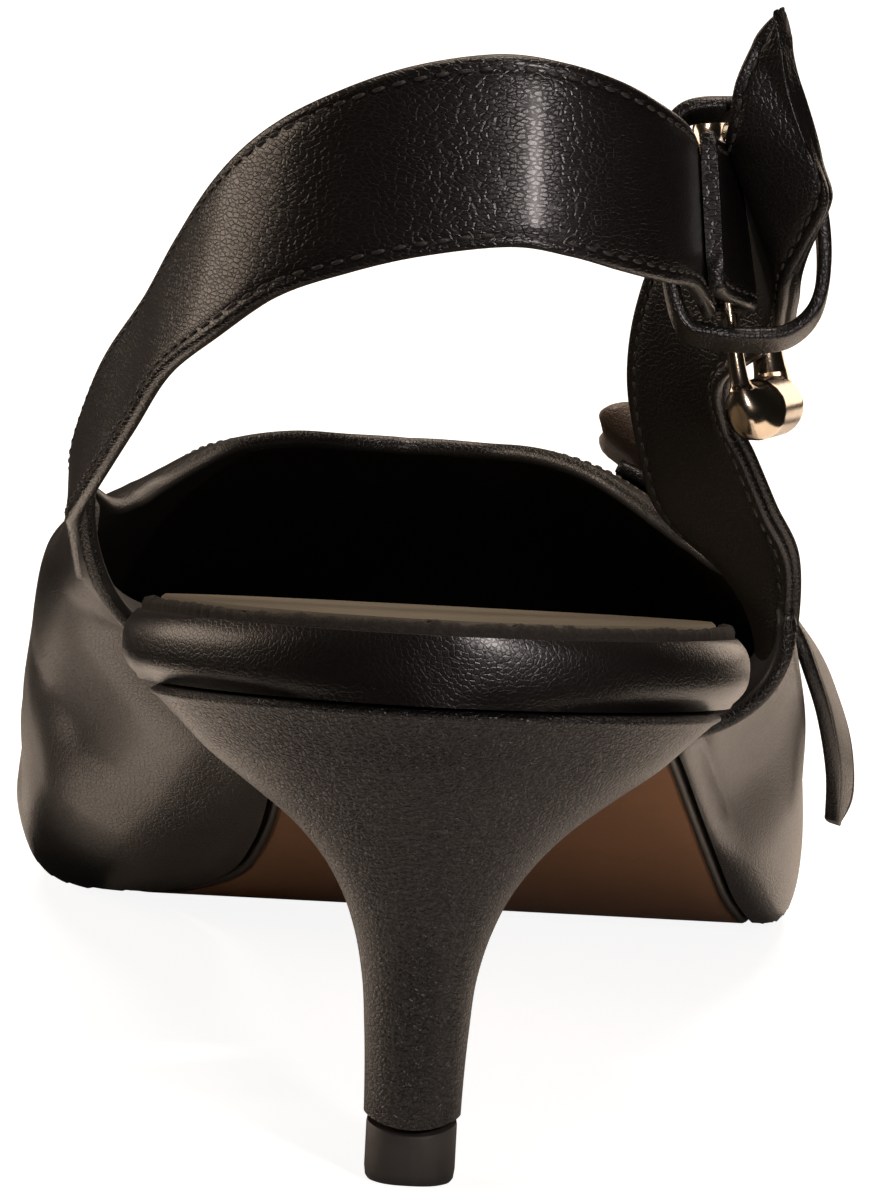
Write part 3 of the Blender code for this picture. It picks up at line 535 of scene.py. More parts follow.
def upper_grid():
    """Outer surface as ribs from the feather line to the top edge."""
    tops = []
    for side, y, z in TOPLINE:
        share = 1.0 if side == 0 else share_at(side, y, z)
        tops.append((y, share if side <= 0 else 2.0 - share))
    middle_top = next(i for i, row in enumerate(TOPLINE) if row[0] == 0)
    middle_foot = next(i for i, row in enumerate(FEATHER) if row[0] == 0)
    half = RIBS // 2
    scale = np.array([1.0, 30.0])
    left = smooth(np.array(tops[:middle_top + 1]) * scale, half + 1) / scale
    right = smooth(np.array(tops[middle_top:]) * scale, half + 1) / scale
    top = np.concatenate([left, right[1:]])
    foot_left = smooth([(y,) for _, y in FEATHER[:middle_foot + 1]], half + 1)[:, 0]
    foot_right = smooth([(y,) for _, y in FEATHER[middle_foot:]], half + 1)[1:, 0]
    foot_y = np.concatenate([foot_left, foot_right])
    foot_y[half] = TOE_TIP + 1.6
    foot_s = np.concatenate([np.zeros(half), [1.0], np.full(half, 2.0)])
    v = np.linspace(0, 1, ROWS)[None, :]
    y = foot_y[:, None] + (top[:, :1] - foot_y[:, None]) * v
    arc = foot_s[:, None] + (top[:, 1:] - foot_s[:, None]) * v
    side = np.where(arc <= 1.0, -1, 1)
    x, z = wall(side, y, np.where(arc <= 1.0, arc, 2.0 - arc))
    z = np.maximum(z, underside(np.minimum(y, TOE_TIP)) + SKIRT)
    z[half, 0] = underside(TOE_TIP) + SKIRT
    return np.stack([x, y, z], axis=2)


def crease_lift(grid):
    """How far the creases lift the wall, seen from the side; they fade out over the lowest nine rows."""
    lift = np.zeros(grid.shape[:2])
    for side, y0, z0, y1, z1, width, depth in CREASES:
        line = np.array([y1 - y0, z1 - z0], float)
        reach = (grid[..., 1] - y0) * line[0] + (grid[..., 2] - z0) * line[1]
        t = np.clip(reach / (line @ line), 0, 1)
        away = np.hypot(grid[..., 1] - y0 - t * line[0], grid[..., 2] - z0 - t * line[1])
        here = (grid[..., 0] * side > 0) * ease(np.abs(grid[..., 0]), 2, 14)
        lift += depth * np.exp(-(away / width) ** 2) * here
    return lift * ease(np.arange(grid.shape[1]), 0, 9)


def inner_grid(grid, normal, depth):
    """The same surface moved in by the wall, kept off the sole line and short of the closed toe."""
    half = (along(SECTIONS, grid[..., 1], 3) - along(SECTIONS, grid[..., 1], 1)) / 2
    inner = grid - normal * np.minimum(depth, 0.30 * half)[..., None]
    middle = along(SECTIONS, grid[..., 1], 5)
    sole = underside(np.minimum(grid[..., 1], TOE_TIP)) + SOLE_THICK
    height = (along(SECTIONS, grid[..., 1], 6) + sole) / 2
    shrink = np.clip(1 - depth / half, 0.4, 1.0)
    toe = np.stack([middle + (grid[..., 0] - middle) * shrink,
                    grid[..., 1] - depth * np.clip((grid[..., 1] - 210) / 22, 0, 1),
                    height + (grid[..., 2] - height) * np.clip(shrink, 0.4, 0.74)], axis=2)
    share = ease(grid[..., 1], 176, 188)[..., None]
    inner = inner * (1 - share) + toe * share
    floor = underside(np.minimum(inner[..., 1], TOE_TIP)) + SOLE_THICK + GAP + 0.02
    inner[..., 2] = np.maximum(inner[..., 2], floor)
    return inner


def bridge(first, second, out, angles):
    """Rows that round over from the first edge towards the second, bulging out."""
    middle, reach = (first + second) / 2, (first - second) / 2
    size = np.linalg.norm(reach, axis=1, keepdims=True)
    return [middle + reach * math.cos(a) + out * size * math.sin(a) for a in angles]


def nearest(points):
    """A search tree over points in millimetres."""
    tree = KDTree(len(points))
    for i, spot in enumerate(points * MM):
        tree.insert(spot, i)
    tree.balance()
    return tree


def paint_lining(piece, inner, normal):
    """Faces that look into the shoe take the lining."""
    tree, ways = nearest(inner.reshape(-1, 3)), normal.reshape(-1, 3)
    for face in piece.data.polygons:
        _, i, away = tree.find(face.center)
        if away < 0.0009 and np.dot(ways[i], face.normal) < -0.2:
            face.material_index = 1


def make_upper(outer_finish, lining_finish):
    grid = upper_grid()
    normal = grid_normals(grid)
    lift = crease_lift(grid)
    rows = np.linspace(0, 1, ROWS)
    fold = ease(rows, 0.955, 0.972) * (1 - ease(rows, 0.985, 1.0))
    outer = grid + normal * lift[..., None] + normal * (FOLD_LIFT * fold)[None, :, None]
    inner = inner_grid(grid + normal * np.minimum(lift, 0.0)[..., None], normal, WALL)
    up = unit(outer[:, -1] - outer[:, -4])
    rim = np.stack(bridge(outer[:, -1], inner[:, -1], up * 0.8, np.linspace(0, math.pi, 9)[1:-1]), axis=1)
    profile = np.concatenate([outer, rim, inner[:, ::-1]], axis=1)
    rings = list(profile)
    for end, step in ((0, 1), (-1, -2)):
        out = unit(profile[end] - profile[step])
        extra = bridge(profile[end], profile[end][::-1], out * 0.7, (0.5, 1.0, math.pi / 2))
        rings = extra[::-1] + rings if end == 0 else rings + extra
    piece = loft("upper_shell", rings, [outer_finish, lining_finish], turn=55, capped=False)
    paint_lining(piece, inner, normal)
    return piece, grid, normal


black_lining = nappa("black_lining", gloss=0.52, grain=0.03, tone=(0.0075, 0.0066, 0.0060))
upper, upper_outer, upper_normal = make_upper(black_nappa, black_lining)
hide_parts("upper")
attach(upper, "root")


# Stitching: waxed black thread, a lockstitch every two millimetres along folded edges and straps.
# One Geometry Nodes tree lays a small sunk stitch at each step of a path.
STITCH_PITCH = 2.05
STITCH_LONG = 1.5
THREAD = 0.46
TOPLINE_STITCH = 1.7


def thread_finish():
    made = Finish("black_thread", IOR=1.5)
    twist = made.noise(4200, 3.0)
    made.lead("Base Color", made.mix(twist, (0.012, 0.010, 0.009), (0.030, 0.026, 0.022)))
    made.lead("Roughness", 0.42 + twist * 0.2)
    made.relief(twist, 0.05)
    return made.material


def stitch_tree():
    """Mesh path in, realised stitches out; the path's point attribute lay is the leather's normal."""
    tree = bpy.data.node_groups.new("stitch_row", "GeometryNodeTree")
    for name, kind in (("Path", "Geometry"), ("Pitch", "Float"), ("Long", "Float"), ("Thick", "Float"),
                       ("Thread", "Material")):
        tree.interface.new_socket(name, in_out="INPUT", socket_type="NodeSocket" + kind)
    tree.interface.new_socket("Stitches", in_out="OUTPUT", socket_type="NodeSocketGeometry")
    new = tree.nodes.new
    given, made = new("NodeGroupInput"), new("NodeGroupOutput")
    curve, spaced = new("GeometryNodeMeshToCurve"), new("GeometryNodeResampleCurve")
    spaced.mode = "LENGTH"
    bead, size = new("GeometryNodeMeshUVSphere"), new("ShaderNodeCombineXYZ")
    bead.inputs["Segments"].default_value = 8
    bead.inputs["Rings"].default_value = 6
    bead.inputs["Radius"].default_value = 0.5
    lay, tangent = new("GeometryNodeInputNamedAttribute"), new("GeometryNodeInputTangent")
    lay.data_type = "FLOAT_VECTOR"
    lay.inputs["Name"].default_value = "lay"
    upright, turned = new("FunctionNodeAlignRotationToVector"), new("FunctionNodeAlignRotationToVector")
    upright.axis = "Z"
    turned.axis, turned.pivot_axis = "X", "Z"
    spread, real = new("GeometryNodeInstanceOnPoints"), new("GeometryNodeRealizeInstances")
    soft, paint = new("GeometryNodeSetShadeSmooth"), new("GeometryNodeSetMaterial")
    for start, outlet, end, inlet in (
            (given, "Path", curve, "Mesh"), (curve, "Curve", spaced, "Curve"),
            (given, "Pitch", spaced, "Length"), (given, "Long", size, "X"),
            (given, "Thick", size, "Y"), (given, "Thick", size, "Z"),
            (lay, "Attribute", upright, "Vector"), (upright, "Rotation", turned, "Rotation"),
            (tangent, "Tangent", turned, "Vector"), (spaced, "Curve", spread, "Points"),
            (bead, "Mesh", spread, "Instance"), (turned, "Rotation", spread, "Rotation"),
            (size, "Vector", spread, "Scale"), (spread, "Instances", real, "Geometry"),
            (real, "Geometry", soft, "Geometry"), (soft, "Geometry", paint, "Geometry"),
            (given, "Thread", paint, "Material"), (paint, "Geometry", made, "Stitches")):
        tree.links.new(start.outputs[outlet], end.inputs[inlet])
    return tree


STITCHES = stitch_tree()
black_thread = thread_finish()


def stitch_row(name, lines):
    """Stitches along lines of points with normals, as one plain mesh."""
    verts, edges, ways = [], [], []
    for points, normals in lines:
        base = len(verts)
        verts += [tuple(p * MM) for p in points]
        ways += [tuple(n) for n in normals]
        edges += [(base + i, base + i + 1) for i in range(len(points) - 1)]
    mesh = bpy.data.meshes.new(name + "_path")
    mesh.from_pydata(verts, edges, [])
    lay = mesh.attributes.new("lay", "FLOAT_VECTOR", "POINT")
    lay.data.foreach_set("vector", np.array(ways, float).ravel())
    piece = add_object(name, mesh)
    rig = piece.modifiers.new("stitches", "NODES")
    rig.node_group = STITCHES
    values = {"Pitch": STITCH_PITCH * MM, "Long": STITCH_LONG * MM, "Thick": THREAD * MM,
              "Thread": black_thread}
    for item in STITCHES.interface.items_tree:
        if item.in_out == "INPUT" and item.name in values:
            rig[item.identifier] = values[item.name]
    bpy.context.view_layer.update()
    made = bpy.data.meshes.new_from_object(piece.evaluated_get(bpy.context.evaluated_depsgraph_get()))
    made.name = name
    piece.modifiers.remove(rig)
    piece.data = made
    if not made.materials:
        made.materials.append(black_thread)
    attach(piece, "root")


def topline_row(back):
    """Points and normals on the upper, a little below its top edge."""
    points, normals = [], []
    for rib, way in zip(upper_outer[4:-4], upper_normal[4:-4]):
        run = run_length(rib[::-1])
        points.append([np.interp(back, run, rib[::-1, k]) for k in range(3)])
        normals.append([np.interp(back, run, way[::-1, k]) for k in range(3)])
    normals = unit(normals)
    return np.array(points) + normals * 0.05, normals


stitch_row("topline_stitches", [topline_row(TOPLINE_STITCH)])


# Sling strap: one strip of nappa folded over a lining, stitched along both edges. It leaves the medial
# quarter, rounds the heel and is turned back over the buckle's bar on the outer side.
SLING_THICK = 1.6
FOLD_RADIUS = 2.05
FOLD_RETURN = 13.5
EDGE_STITCH = 1.25

# Top edge x, y, z and bottom edge x, y, z, from the medial quarter round the heel to the buckle's bar
SLING = [(-34.2, 36.5, 68.6, -35.6, 27.5, 57.0), (-32.3, 29.0, 73.7, -33.5, 18.5, 61.8),
         (-28.9, 20.5, 80.1, -30.2, 9.5, 68.6), (-25.9, 10.5, 87.2, -26.9, 1.0, 75.2),
         (-22.2, 0.0, 94.7, -22.2, -6.5, 80.2), (-17.8, -7.0, 100.2, -16.6, -10.5, 84.8),
         (-12.2, -11.8, 104.2, -10.4, -13.2, 87.6), (-5.0, -14.4, 107.4, -3.6, -14.8, 89.8),
         (3.0, -15.0, 109.0, 4.8, -15.0, 91.2), (9.2, -13.6, 108.3, 10.4, -13.4, 90.4),
         (14.4, -10.0, 106.4, 15.2, -9.6, 88.8), (18.4, -4.0, 103.6, 19.4, -4.0, 87.2),
         (20.6, 4.0, 101.0, 22.0, 3.4, 85.8), (21.4, 13.0, 98.4, 23.4, 11.5, 83.2),
         (21.2, 21.0, 96.4, 24.2, 19.0, 81.0)]

# Where the strap runs out on the quarter: top edge y, z, bottom edge y, z, lift of its middle off the wall
MEDIAL_JOINT = [(58.0, 55.0, 48.5, 47.5, -0.45), (51.5, 58.0, 43.5, 50.4, -0.2), (44.6, 61.8, 37.0, 54.2, 0.2)]


def fold_rows():
    """Rows of the sling strap with its lateral end taken round the buckle's bar and back."""
    rows = [list(row) for row in SLING]
    last, before = np.array(rows[-1]), np.array(rows[-2])
    track = unit((last[:3] + last[3:] - before[:3] - before[3:]) / 2)
    across = unit(last[:3] - last[3:])
    out = unit(np.cross(across, track))
    out = -out if out[0] < 0 else out
    square = unit(np.cross(out, across))
    track = square if np.dot(square, track) > 0 else -square
    middle = last.reshape(2, 3) + track * 2.0
    bar = middle + out * FOLD_RADIUS
    for angle in (-90, -45, 0, 45, 90):
        a = math.radians(angle)
        rows.append(list((bar + (out * math.sin(a) + track * math.cos(a)) * FOLD_RADIUS).ravel()))
    near = np.array(smooth(SLING, 160))
    centre = (near[:, :3] + near[:, 3:]) / 2
    for back, lift in ((2.5, 0.86), (5.5, 0.45), (9.5, 0.08), (FOLD_RETURN, 0.0)):
        goal = (last[:3] + last[3:]) / 2 - track * back
        i = int(np.argmin(np.linalg.norm(centre - goal, axis=1)))
        apart = SLING_THICK + GAP + (2 * FOLD_RADIUS - SLING_THICK - GAP) * lift
        rows.append(list((near[i].reshape(2, 3) + out * apart).ravel()))
    return rows, bar.mean(axis=0), track, across, out


def joint_rows(side, table):
    """Rows of a strap where it runs out on the quarter, by the wall or in it."""
    return [np.concatenate([on_upper(y, share_at(side, y, z), lift, side) for y, z in ((y0, z0), (y1, z1))])
            for y0, z0, y1, z1, lift in table]


def strap_frame(rows, count):
    """Evenly spaced bottom edge of a strap, its across and normal directions and its width."""
    path = smooth(rows, count)
    top, bottom = path[:, :3], path[:, 3:]
    tangent = np.gradient((top + bottom) / 2, axis=0)
    width = np.linalg.norm(top - bottom, axis=1, keepdims=True)
    across = (top - bottom) / width
    return bottom, across, unit(np.cross(tangent, across)), width


def strap_profile(split):
    """Half section, distance in from the edge and lift: the edge, a stitch furrow, the padded middle."""
    edge = [(0.0, 0.0), (0.03, 0.36), (0.16, 0.70), (0.42, 0.92)]
    if split:
        edge = [(0.30, 0.0), (0.02, 0.22), (0.0, 0.55), (0.10, 0.88), (0.34, 0.98)]
    return edge + [(0.78, 0.97), (1.02, 0.90), (1.25, 0.82), (1.48, 0.90), (1.75, 1.0), (2.4, 1.04),
                   (3.6, 1.05)]


def strap_end(ring, neighbour):
    """Two more rings past the end of a strap, drawn in towards the end's centre."""
    away = unit((ring - neighbour).mean(axis=0))
    draw_in = ring.mean(axis=0) - ring
    return [ring + draw_in * 0.02 + away * 0.35, ring + draw_in * 0.06 + away * 0.5]


def strap_rings(rows, count, thick, split=False):
    bottom, across, normal, width = strap_frame(rows, count)
    half = strap_profile(split)
    rings = []
    for i in range(count):
        w = float(width[i, 0])
        squeeze = min(1.0, w / 9.0)
        face = [(d * squeeze, u) for d, u in half] + [(w * s, 1.06) for s in (0.38, 0.5, 0.62)]
        face += [(w - d * squeeze, u) for d, u in reversed(half)]
        ring = face + [(d, -u) for d, u in reversed(face) if u > 0.01]
        rings.append([bottom[i] + across[i] * d + normal[i] * (thick / 2 * u) for d, u in ring])
    rings = list(np.array(rings))
    return np.array(strap_end(rings[0], rings[1])[::-1] + rings + strap_end(rings[-1], rings[-2]))


def strap_stitches(rows, count, thick, start, stop):
    """Stitch lines along both edges of both faces, from share start to share stop of the strap's length."""
    bottom, across, normal, width = strap_frame(rows, count)
    keep = slice(int(start * (count - 1)), int(stop * (count - 1)) + 1)
    lines = []
    for face in (1, -1):
        for reach in (width - EDGE_STITCH, EDGE_STITCH):
            points = bottom + across * reach + normal * face * (thick / 2 * 0.86)
            lines.append((points[keep], (normal * face)[keep]))
    return lines


sling_rows, buckle_bar, strap_track, strap_across, strap_out = fold_rows()
sling_rows = joint_rows(-1, MEDIAL_JOINT) + sling_rows
sling_nappa = nappa("sling_nappa", stretch=(0.62, 0.62, 1.25), gloss=0.27, grain=0.06)
sling_strap = loft("sling_strap_leather", strap_rings(sling_rows, 420, SLING_THICK), [sling_nappa], turn=60)
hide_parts("sling_strap")
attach(sling_strap, "root")
stitch_row("sling_stitches", strap_stitches(sling_rows, 420, SLING_THICK, 0.06, 0.985))


# Buckle: cast and polished frame with a pale gold plating. The strap's fold holds its rear bar, and the
# pin lies across the strap to the front bar.
BUCKLE_HALF_LONG = 13.9
BUCKLE_DROP = 3.5
BUCKLE_DEPTH = 14.6
BUCKLE_TILT = 0.23
BUCKLE_FLARE = 1.05
BUCKLE_CORNER = 3.6
BUCKLE_BAR = 1.45
REAR_BAR = 0.56
PALE_GOLD = (0.74, 0.62, 0.47)


def plated(name):
    made = Finish(name, Metallic=1.0, IOR=1.5)
    haze, hair = made.noise(420, 5.0), made.noise((900, 5200, 5200), 2.0)
    made.lead("Base Color", made.mix(haze.step(0.4, 0.75), PALE_GOLD, shade(PALE_GOLD, 0.88)))
    made.lead("Roughness", 0.10 + haze * 0.10 + hair * 0.05)
    made.relief(hair, 0.006)
    return made.material


def buckle_axes():
    forward = unit(strap_track - np.dot(strap_track, strap_across) * strap_across + BUCKLE_TILT * strap_out)
    outward = unit(np.cross(strap_across, forward))
    return forward, -outward if outward[0] < 0 else outward


def full_turn(count):
    return np.linspace(0, 2 * math.pi, count, endpoint=False)


def make_frame(finish):
    forward, outward = buckle_axes()
    half, depth, radius = BUCKLE_HALF_LONG, BUCKLE_DEPTH, BUCKLE_CORNER
    corners = []
    for cx, cy, start in ((-1, -1, 270), (-1, 1, 180), (1, 1, 90), (1, -1, 0)):
        middle = np.array([cx * (half - radius), cy * (depth / 2 - radius) + depth / 2])
        for step in range(13):
            a = math.radians(start - step * 7.5)
            corners.append(middle + radius * np.array([math.cos(a), math.sin(a)]))
    path = smooth(corners, 150, closed=True)
    rings = []
    for i, spot in enumerate(path):
        t = unit(path[(i + 1) % len(path)] - path[i - 1])
        n = np.array([t[1], -t[0]])
        end = min(1.0, max(0.0, -spot[0]) / half) ** 8
        held = (1 - ease(spot[1], 0.6, 2.4)) * (1 - ease(abs(spot[0]) / half, 0.8, 0.95))
        size = BUCKLE_BAR * (1 - (1 - REAR_BAR) * float(held)) * (1 + BUCKLE_FLARE * end)
        ring = []
        for a in full_turn(20):
            flat = spot + n * size * math.cos(a)
            deep = size * math.sin(a) + 0.6 * end
            along_bar = strap_across * (flat[0] - BUCKLE_DROP)
            ring.append(buckle_bar + along_bar + forward * flat[1] + outward * deep)
        rings.append(ring)
    return loft("buckle_frame_metal", rings, [finish], closed=True, turn=70)


def make_prong(finish):
    forward, outward = buckle_axes()
    line = smooth([(7.4, 4.4), (9.2, 3.8), (11.0, 3.2), (13.2, 2.6), (16.4, 2.5), (17.0, 2.4)], 30)
    rings = []
    for i, (reach, lift) in enumerate(line):
        round_off = min(1.0, math.sqrt(max(0.02, min(i, 29 - i) / 3.0)))
        rings.append([buckle_bar + forward * reach + outward * (lift + 0.62 * round_off * math.sin(a))
                      + strap_across * 0.85 * round_off * math.cos(a) for a in full_turn(16)])
    return loft("buckle_prong_metal", rings, [finish], turn=70)


pale_gold = plated("pale_gold_plate")
buckle_frame, buckle_prong = make_frame(pale_gold), make_prong(pale_gold)
for piece, node in ((buckle_frame, "buckle_frame"), (buckle_prong, "buckle_prong")):
    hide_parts(node)
    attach(piece, "root")


# Quarter strap: a double layer of nappa cut in one with the lateral quarter. It rises through the buckle
# and its slanted end stands out past the keeper; both layers show along the cut edge.
STRAP_THICK = 2.2
QUARTER_STRAP = [(21.8, 62.4, 55.8, 34.7, 49.2, 52.8), (19.4, 57.6, 62.6, 32.0, 44.8, 58.6),
                 (17.9, 52.0, 70.6, 29.4, 41.8, 64.2), (18.4, 45.8, 78.6, 27.4, 39.8, 67.8),
                 (20.6, 39.2, 85.4, 26.8, 35.4, 72.6), (26.0, 31.0, 91.0, 31.2, 27.8, 77.6),
                 (27.6, 21.5, 95.6, 31.8, 19.6, 82.0), (25.6, 15.2, 98.8, 32.0, 14.6, 85.6),
                 (25.4, 12.0, 101.4, 33.4, 12.2, 89.6), (25.6, 10.2, 105.2, 34.8, 9.8, 94.0),
                 (27.0, 9.6, 108.9, 33.4, 9.0, 98.2), (28.2, 8.6, 110.8, 31.0, 8.4, 104.4),
                 (28.9, 8.2, 111.6, 29.9, 8.1, 108.6)]
LATERAL_JOINT = [(70.0, 46.5, 56.0, 38.0, -1.3), (66.0, 50.6, 51.8, 44.5, -0.8)]
quarter_rows = joint_rows(1, LATERAL_JOINT) + QUARTER_STRAP
quarter_rings = strap_rings(quarter_rows, 330, STRAP_THICK, split=True)
quarter_strap = loft("quarter_strap_leather", quarter_rings, [black_nappa], turn=60)
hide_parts("quarter_strap")
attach(quarter_strap, "root")
quarter_stitches = strap_stitches(quarter_rows, 330, STRAP_THICK, 0.14, 0.9)
stitch_row("quarter_strap_stitches", quarter_stitches)


# Keeper: a narrow loop of nappa, edges painted, closed under the strap. It holds the strap's free end.
KEEPER_Y = 15.0
KEEPER_WIDTH = 4.2
KEEPER_THICK = 1.3
KEEPER_SLOPE = -0.5
KEEPER_LEAN = -0.06
KEEPER = [(19.4, 98.0), (20.6, 100.6), (23.8, 101.4), (28.0, 101.0), (31.8, 97.6), (34.0, 92.4), (34.8, 87.0),
          (34.2, 82.6), (31.8, 80.0), (28.4, 79.4), (25.0, 79.5), (22.2, 80.2), (20.6, 83.6), (19.4, 91.0)]


def closed_band(name, rows, count, thick, finish):
    """A closed band between two edge lines; a row holds x, y, z of one edge and of the other."""
    path = smooth(rows, count, closed=True)
    near, reach = path[:, :3], path[:, 3:] - path[:, :3]
    centre = near + reach / 2
    normal = unit(np.cross(np.roll(centre, -1, axis=0) - np.roll(centre, 1, axis=0), reach))
    section = [(0.0, -0.1), (0.01, -0.34), (0.05, -0.46), (0.14, -0.5), (0.38, -0.52), (0.62, -0.52),
               (0.86, -0.5), (0.95, -0.46), (0.99, -0.34), (1.0, -0.1)]
    section += [(1 - w, -t) for w, t in section]
    rings = [[near[i] + reach[i] * w + normal[i] * thick * t for w, t in section] for i in range(count)]
    return loft(name, rings, [finish], closed=True, turn=60)


def keeper_rows():
    rows = []
    for x, z in KEEPER:
        y = KEEPER_Y + KEEPER_LEAN * (z - KEEPER[0][1])
        half = KEEPER_WIDTH / 2
        rows.append((x, y - half, z - KEEPER_SLOPE * half, x, y + half, z + KEEPER_SLOPE * half))
    return rows


keeper = closed_band("keeper_leather", keeper_rows(), 160, KEEPER_THICK, black_nappa)
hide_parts("keeper_loop")
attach(keeper, "root")


# Bow: three cut pieces of nappa on the outer side of the vamp: a band glued to the wall, a standing loop
# and a pointed tail that hangs over the quarter.
BOW_WIDTH = 13.0
BOW_THICK = 1.6
BOW_BAND = [(108.6, 0.77, 0.2), (107.8, 0.73, 0.2), (106.6, 0.68, 0.2), (105.6, 0.615, 0.2)]
BOW_TAIL = [(105.2, 0.585, 0.2, 1.0, 0.8), (104.6, 0.51, 0.3, 1.0, 1.8), (104.4, 0.45, 0.4, 1.0, 2.2),
            (105.0, 0.395, 1.0, 0.92, 2.2), (106.0, 0.345, 1.9, 0.62, 1.6), (106.8, 0.305, 2.2, 0.12, 0.4)]
LOOP_Y = 109.0
LOOP_THICK = 1.2
LOOP_SHARES = (0.812, 0.625)
LOOP_HEIGHT = 4.2
LOOP_HALF_LONG = 6.6
LOOP_CLEAR = 0.9

# The loop's line, fore and aft: share of its half length, share of its height, how far its edges draw in
LOOP_LINE = [(-0.80, 0.06, 0.008), (-0.99, 0.38, 0.000), (-0.95, 0.76, 0.010), (-0.66, 1.0, 0.028),
             (0.0, 1.02, 0.028), (0.62, 0.86, 0.02), (0.94, 0.55, 0.005), (0.97, 0.25, 0.0), (0.76, 0.02, 0.0),
             (0.0, 0.0, 0.0)]


def make_bow(finish, loop_painted_light_finish):
    half, low = BOW_WIDTH / 2, GAP + BOW_THICK / 2
    band = [np.concatenate([on_upper(y - half, share, low + lift), on_upper(y + half, share, low + lift)])
            for y, share, lift in BOW_BAND]
    tail = [np.concatenate([on_upper(y - half * wide, share - 0.02, low + lift),
                            on_upper(y + half * wide, share - 0.02, low + lift + twist)])
            for y, share, lift, wide, twist in BOW_TAIL]
    stand = 2 * GAP + BOW_THICK + LOOP_THICK / 2 + LOOP_CLEAR
    ribbon = []
    for reach, height, draw in LOOP_LINE:
        y, lift = LOOP_Y + reach * LOOP_HALF_LONG, stand + height * LOOP_HEIGHT
        shares = LOOP_SHARES[0] - draw, LOOP_SHARES[1] + draw
        ribbon.append(np.concatenate([on_upper(y, share, lift) for share in shares]))
    # The loop's finish carries painted light: a lighter brown tone in place of the light it catches
    return [("vamp_band", loft("bow_band_leather", strap_rings(band, 60, BOW_THICK), [finish], turn=60)),
            ("bow_tail", loft("bow_tail_leather", strap_rings(tail, 90, BOW_THICK), [finish], turn=60)),
            ("bow_loop", closed_band("bow_loop_leather", ribbon, 120, LOOP_THICK, loop_painted_light_finish))]


# The loop has a nappa of its own, duller than the rest and painted a lighter brown: painted light, standing in
# for the light the loop catches
loop_painted_light_nappa = nappa("loop_painted_light_nappa", gloss=0.42, tone=(0.085, 0.058, 0.040))
for node, piece in make_bow(black_nappa, loop_painted_light_nappa):
    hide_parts(node)
    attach(piece, "root")


# Outsole: smooth tan sole leather with a black painted edge, glued under the lasted upper. It ends at the
# heel's breast and springs up a little at the toe.
BREAST = 30.5
SOLE_TAN = (0.25, 0.122, 0.056)
SOLE_EDGE = (0.012, 0.010, 0.008)
SOLE_BORDER = 0.5
SOLE_TUCK = 0.5
TOE_TURN = 229.0


def sole_leather():
    """Tan face and black edge by the attribute rim; fine fibre lines and light dust on the tread."""
    made = Finish("sole_leather", IOR=1.48, Coat_Roughness=0.3)
    rim = made.node("ShaderNodeAttribute", {"attribute_name": "rim"}, out="Fac")
    ripple, cloud = made.noise((900, 160, 900), 6.0, 0.65), made.noise((45, 30, 45), 4.0)
    tan = made.mix(cloud.step(0.3, 0.75) * 0.7, SOLE_TAN, shade(SOLE_TAN, 0.72))
    tan = made.mix(ripple.step(0.5, 0.8) * 0.35, tan, shade(SOLE_TAN, 0.55))
    edge = rim.step(0.42, 0.58)
    made.lead("Base Color", made.mix(edge, tan, SOLE_EDGE))
    made.lead("Roughness", 0.44 + cloud * 0.14 + ripple * 0.08)
    made.lead("Coat Weight", 0.12 - edge * 0.06)
    made.relief(ripple + cloud * 0.4, 0.035)
    return made.material


def sole_sides(y):
    """Medial and lateral x of the sole, rounded off at the toe and drawn in under the wall."""
    x0, x1 = float(outline_x(y, -1)), float(outline_x(y, 1))
    if y > TOE_TURN:
        middle, half = (x0 + x1) / 2, float(outline_x(TOE_TURN, 1) - outline_x(TOE_TURN, -1)) / 2
        half *= math.sqrt(max(0.004, 1 - ((y - TOE_TURN) / 6.05) ** 2))
        x0, x1 = middle - half, middle + half
    tuck = SOLE_TUCK * float(ease(y, BREAST, BREAST + 12) * (1 - ease(y, 222, TOE_TURN)))
    return x0 + tuck, x1 - tuck


def sole_ring(y):
    """One section of the sole, and for each of its points 1 on the painted edge and 0 on the tan face."""
    x0, x1 = sole_sides(y)
    low, half = float(underside(y)), (x1 - x0) / 2
    end = 0.35 if y < BREAST + 0.1 or y > TOE_TIP - 0.1 else 0.0
    profile = [(0.0, 0.5), (0.02, 0.3), (0.12, 0.12), (0.4, 0.02), (1.0, 0.0), (SOLE_BORDER, 0.0),
               (SOLE_BORDER + 0.2, 0.0)]
    spread = np.linspace(0.9, 1.0, 8) * half
    if half > SOLE_BORDER + 1:
        spread = np.linspace(SOLE_BORDER + 0.2, half, 9)[1:]
    under = [(min(d, half * (0.1 + 0.11 * k)), z) for k, (d, z) in enumerate(profile)]
    under += [(d, 0.0) for d in spread]
    ring, rim = [], []
    for side, inwards, part in ((x0, 1, under), (x1, -1, under[-2::-1])):
        for d, z in part:
            ring.append((side + inwards * d, y, low + SOLE_THICK * (z * (1 - end) + end * 0.4)))
            rim.append(1.0 if d < SOLE_BORDER + 0.1 or half < 4 else 0.0)
    for side, inwards, part in ((x1, -1, ((0.08, 0.85), (0.6, 1.0))), (x0, 1, ((0.6, 1.0), (0.08, 0.85)))):
        ring += [(side + inwards * min(d, half * 0.4), y, low + SOLE_THICK * z) for d, z in part]
        rim += [1.0, 1.0]
    if y < BREAST + 0.3 or y > TOE_TIP - 1.2:
        rim = [1.0] * len(rim)
    return ring, rim


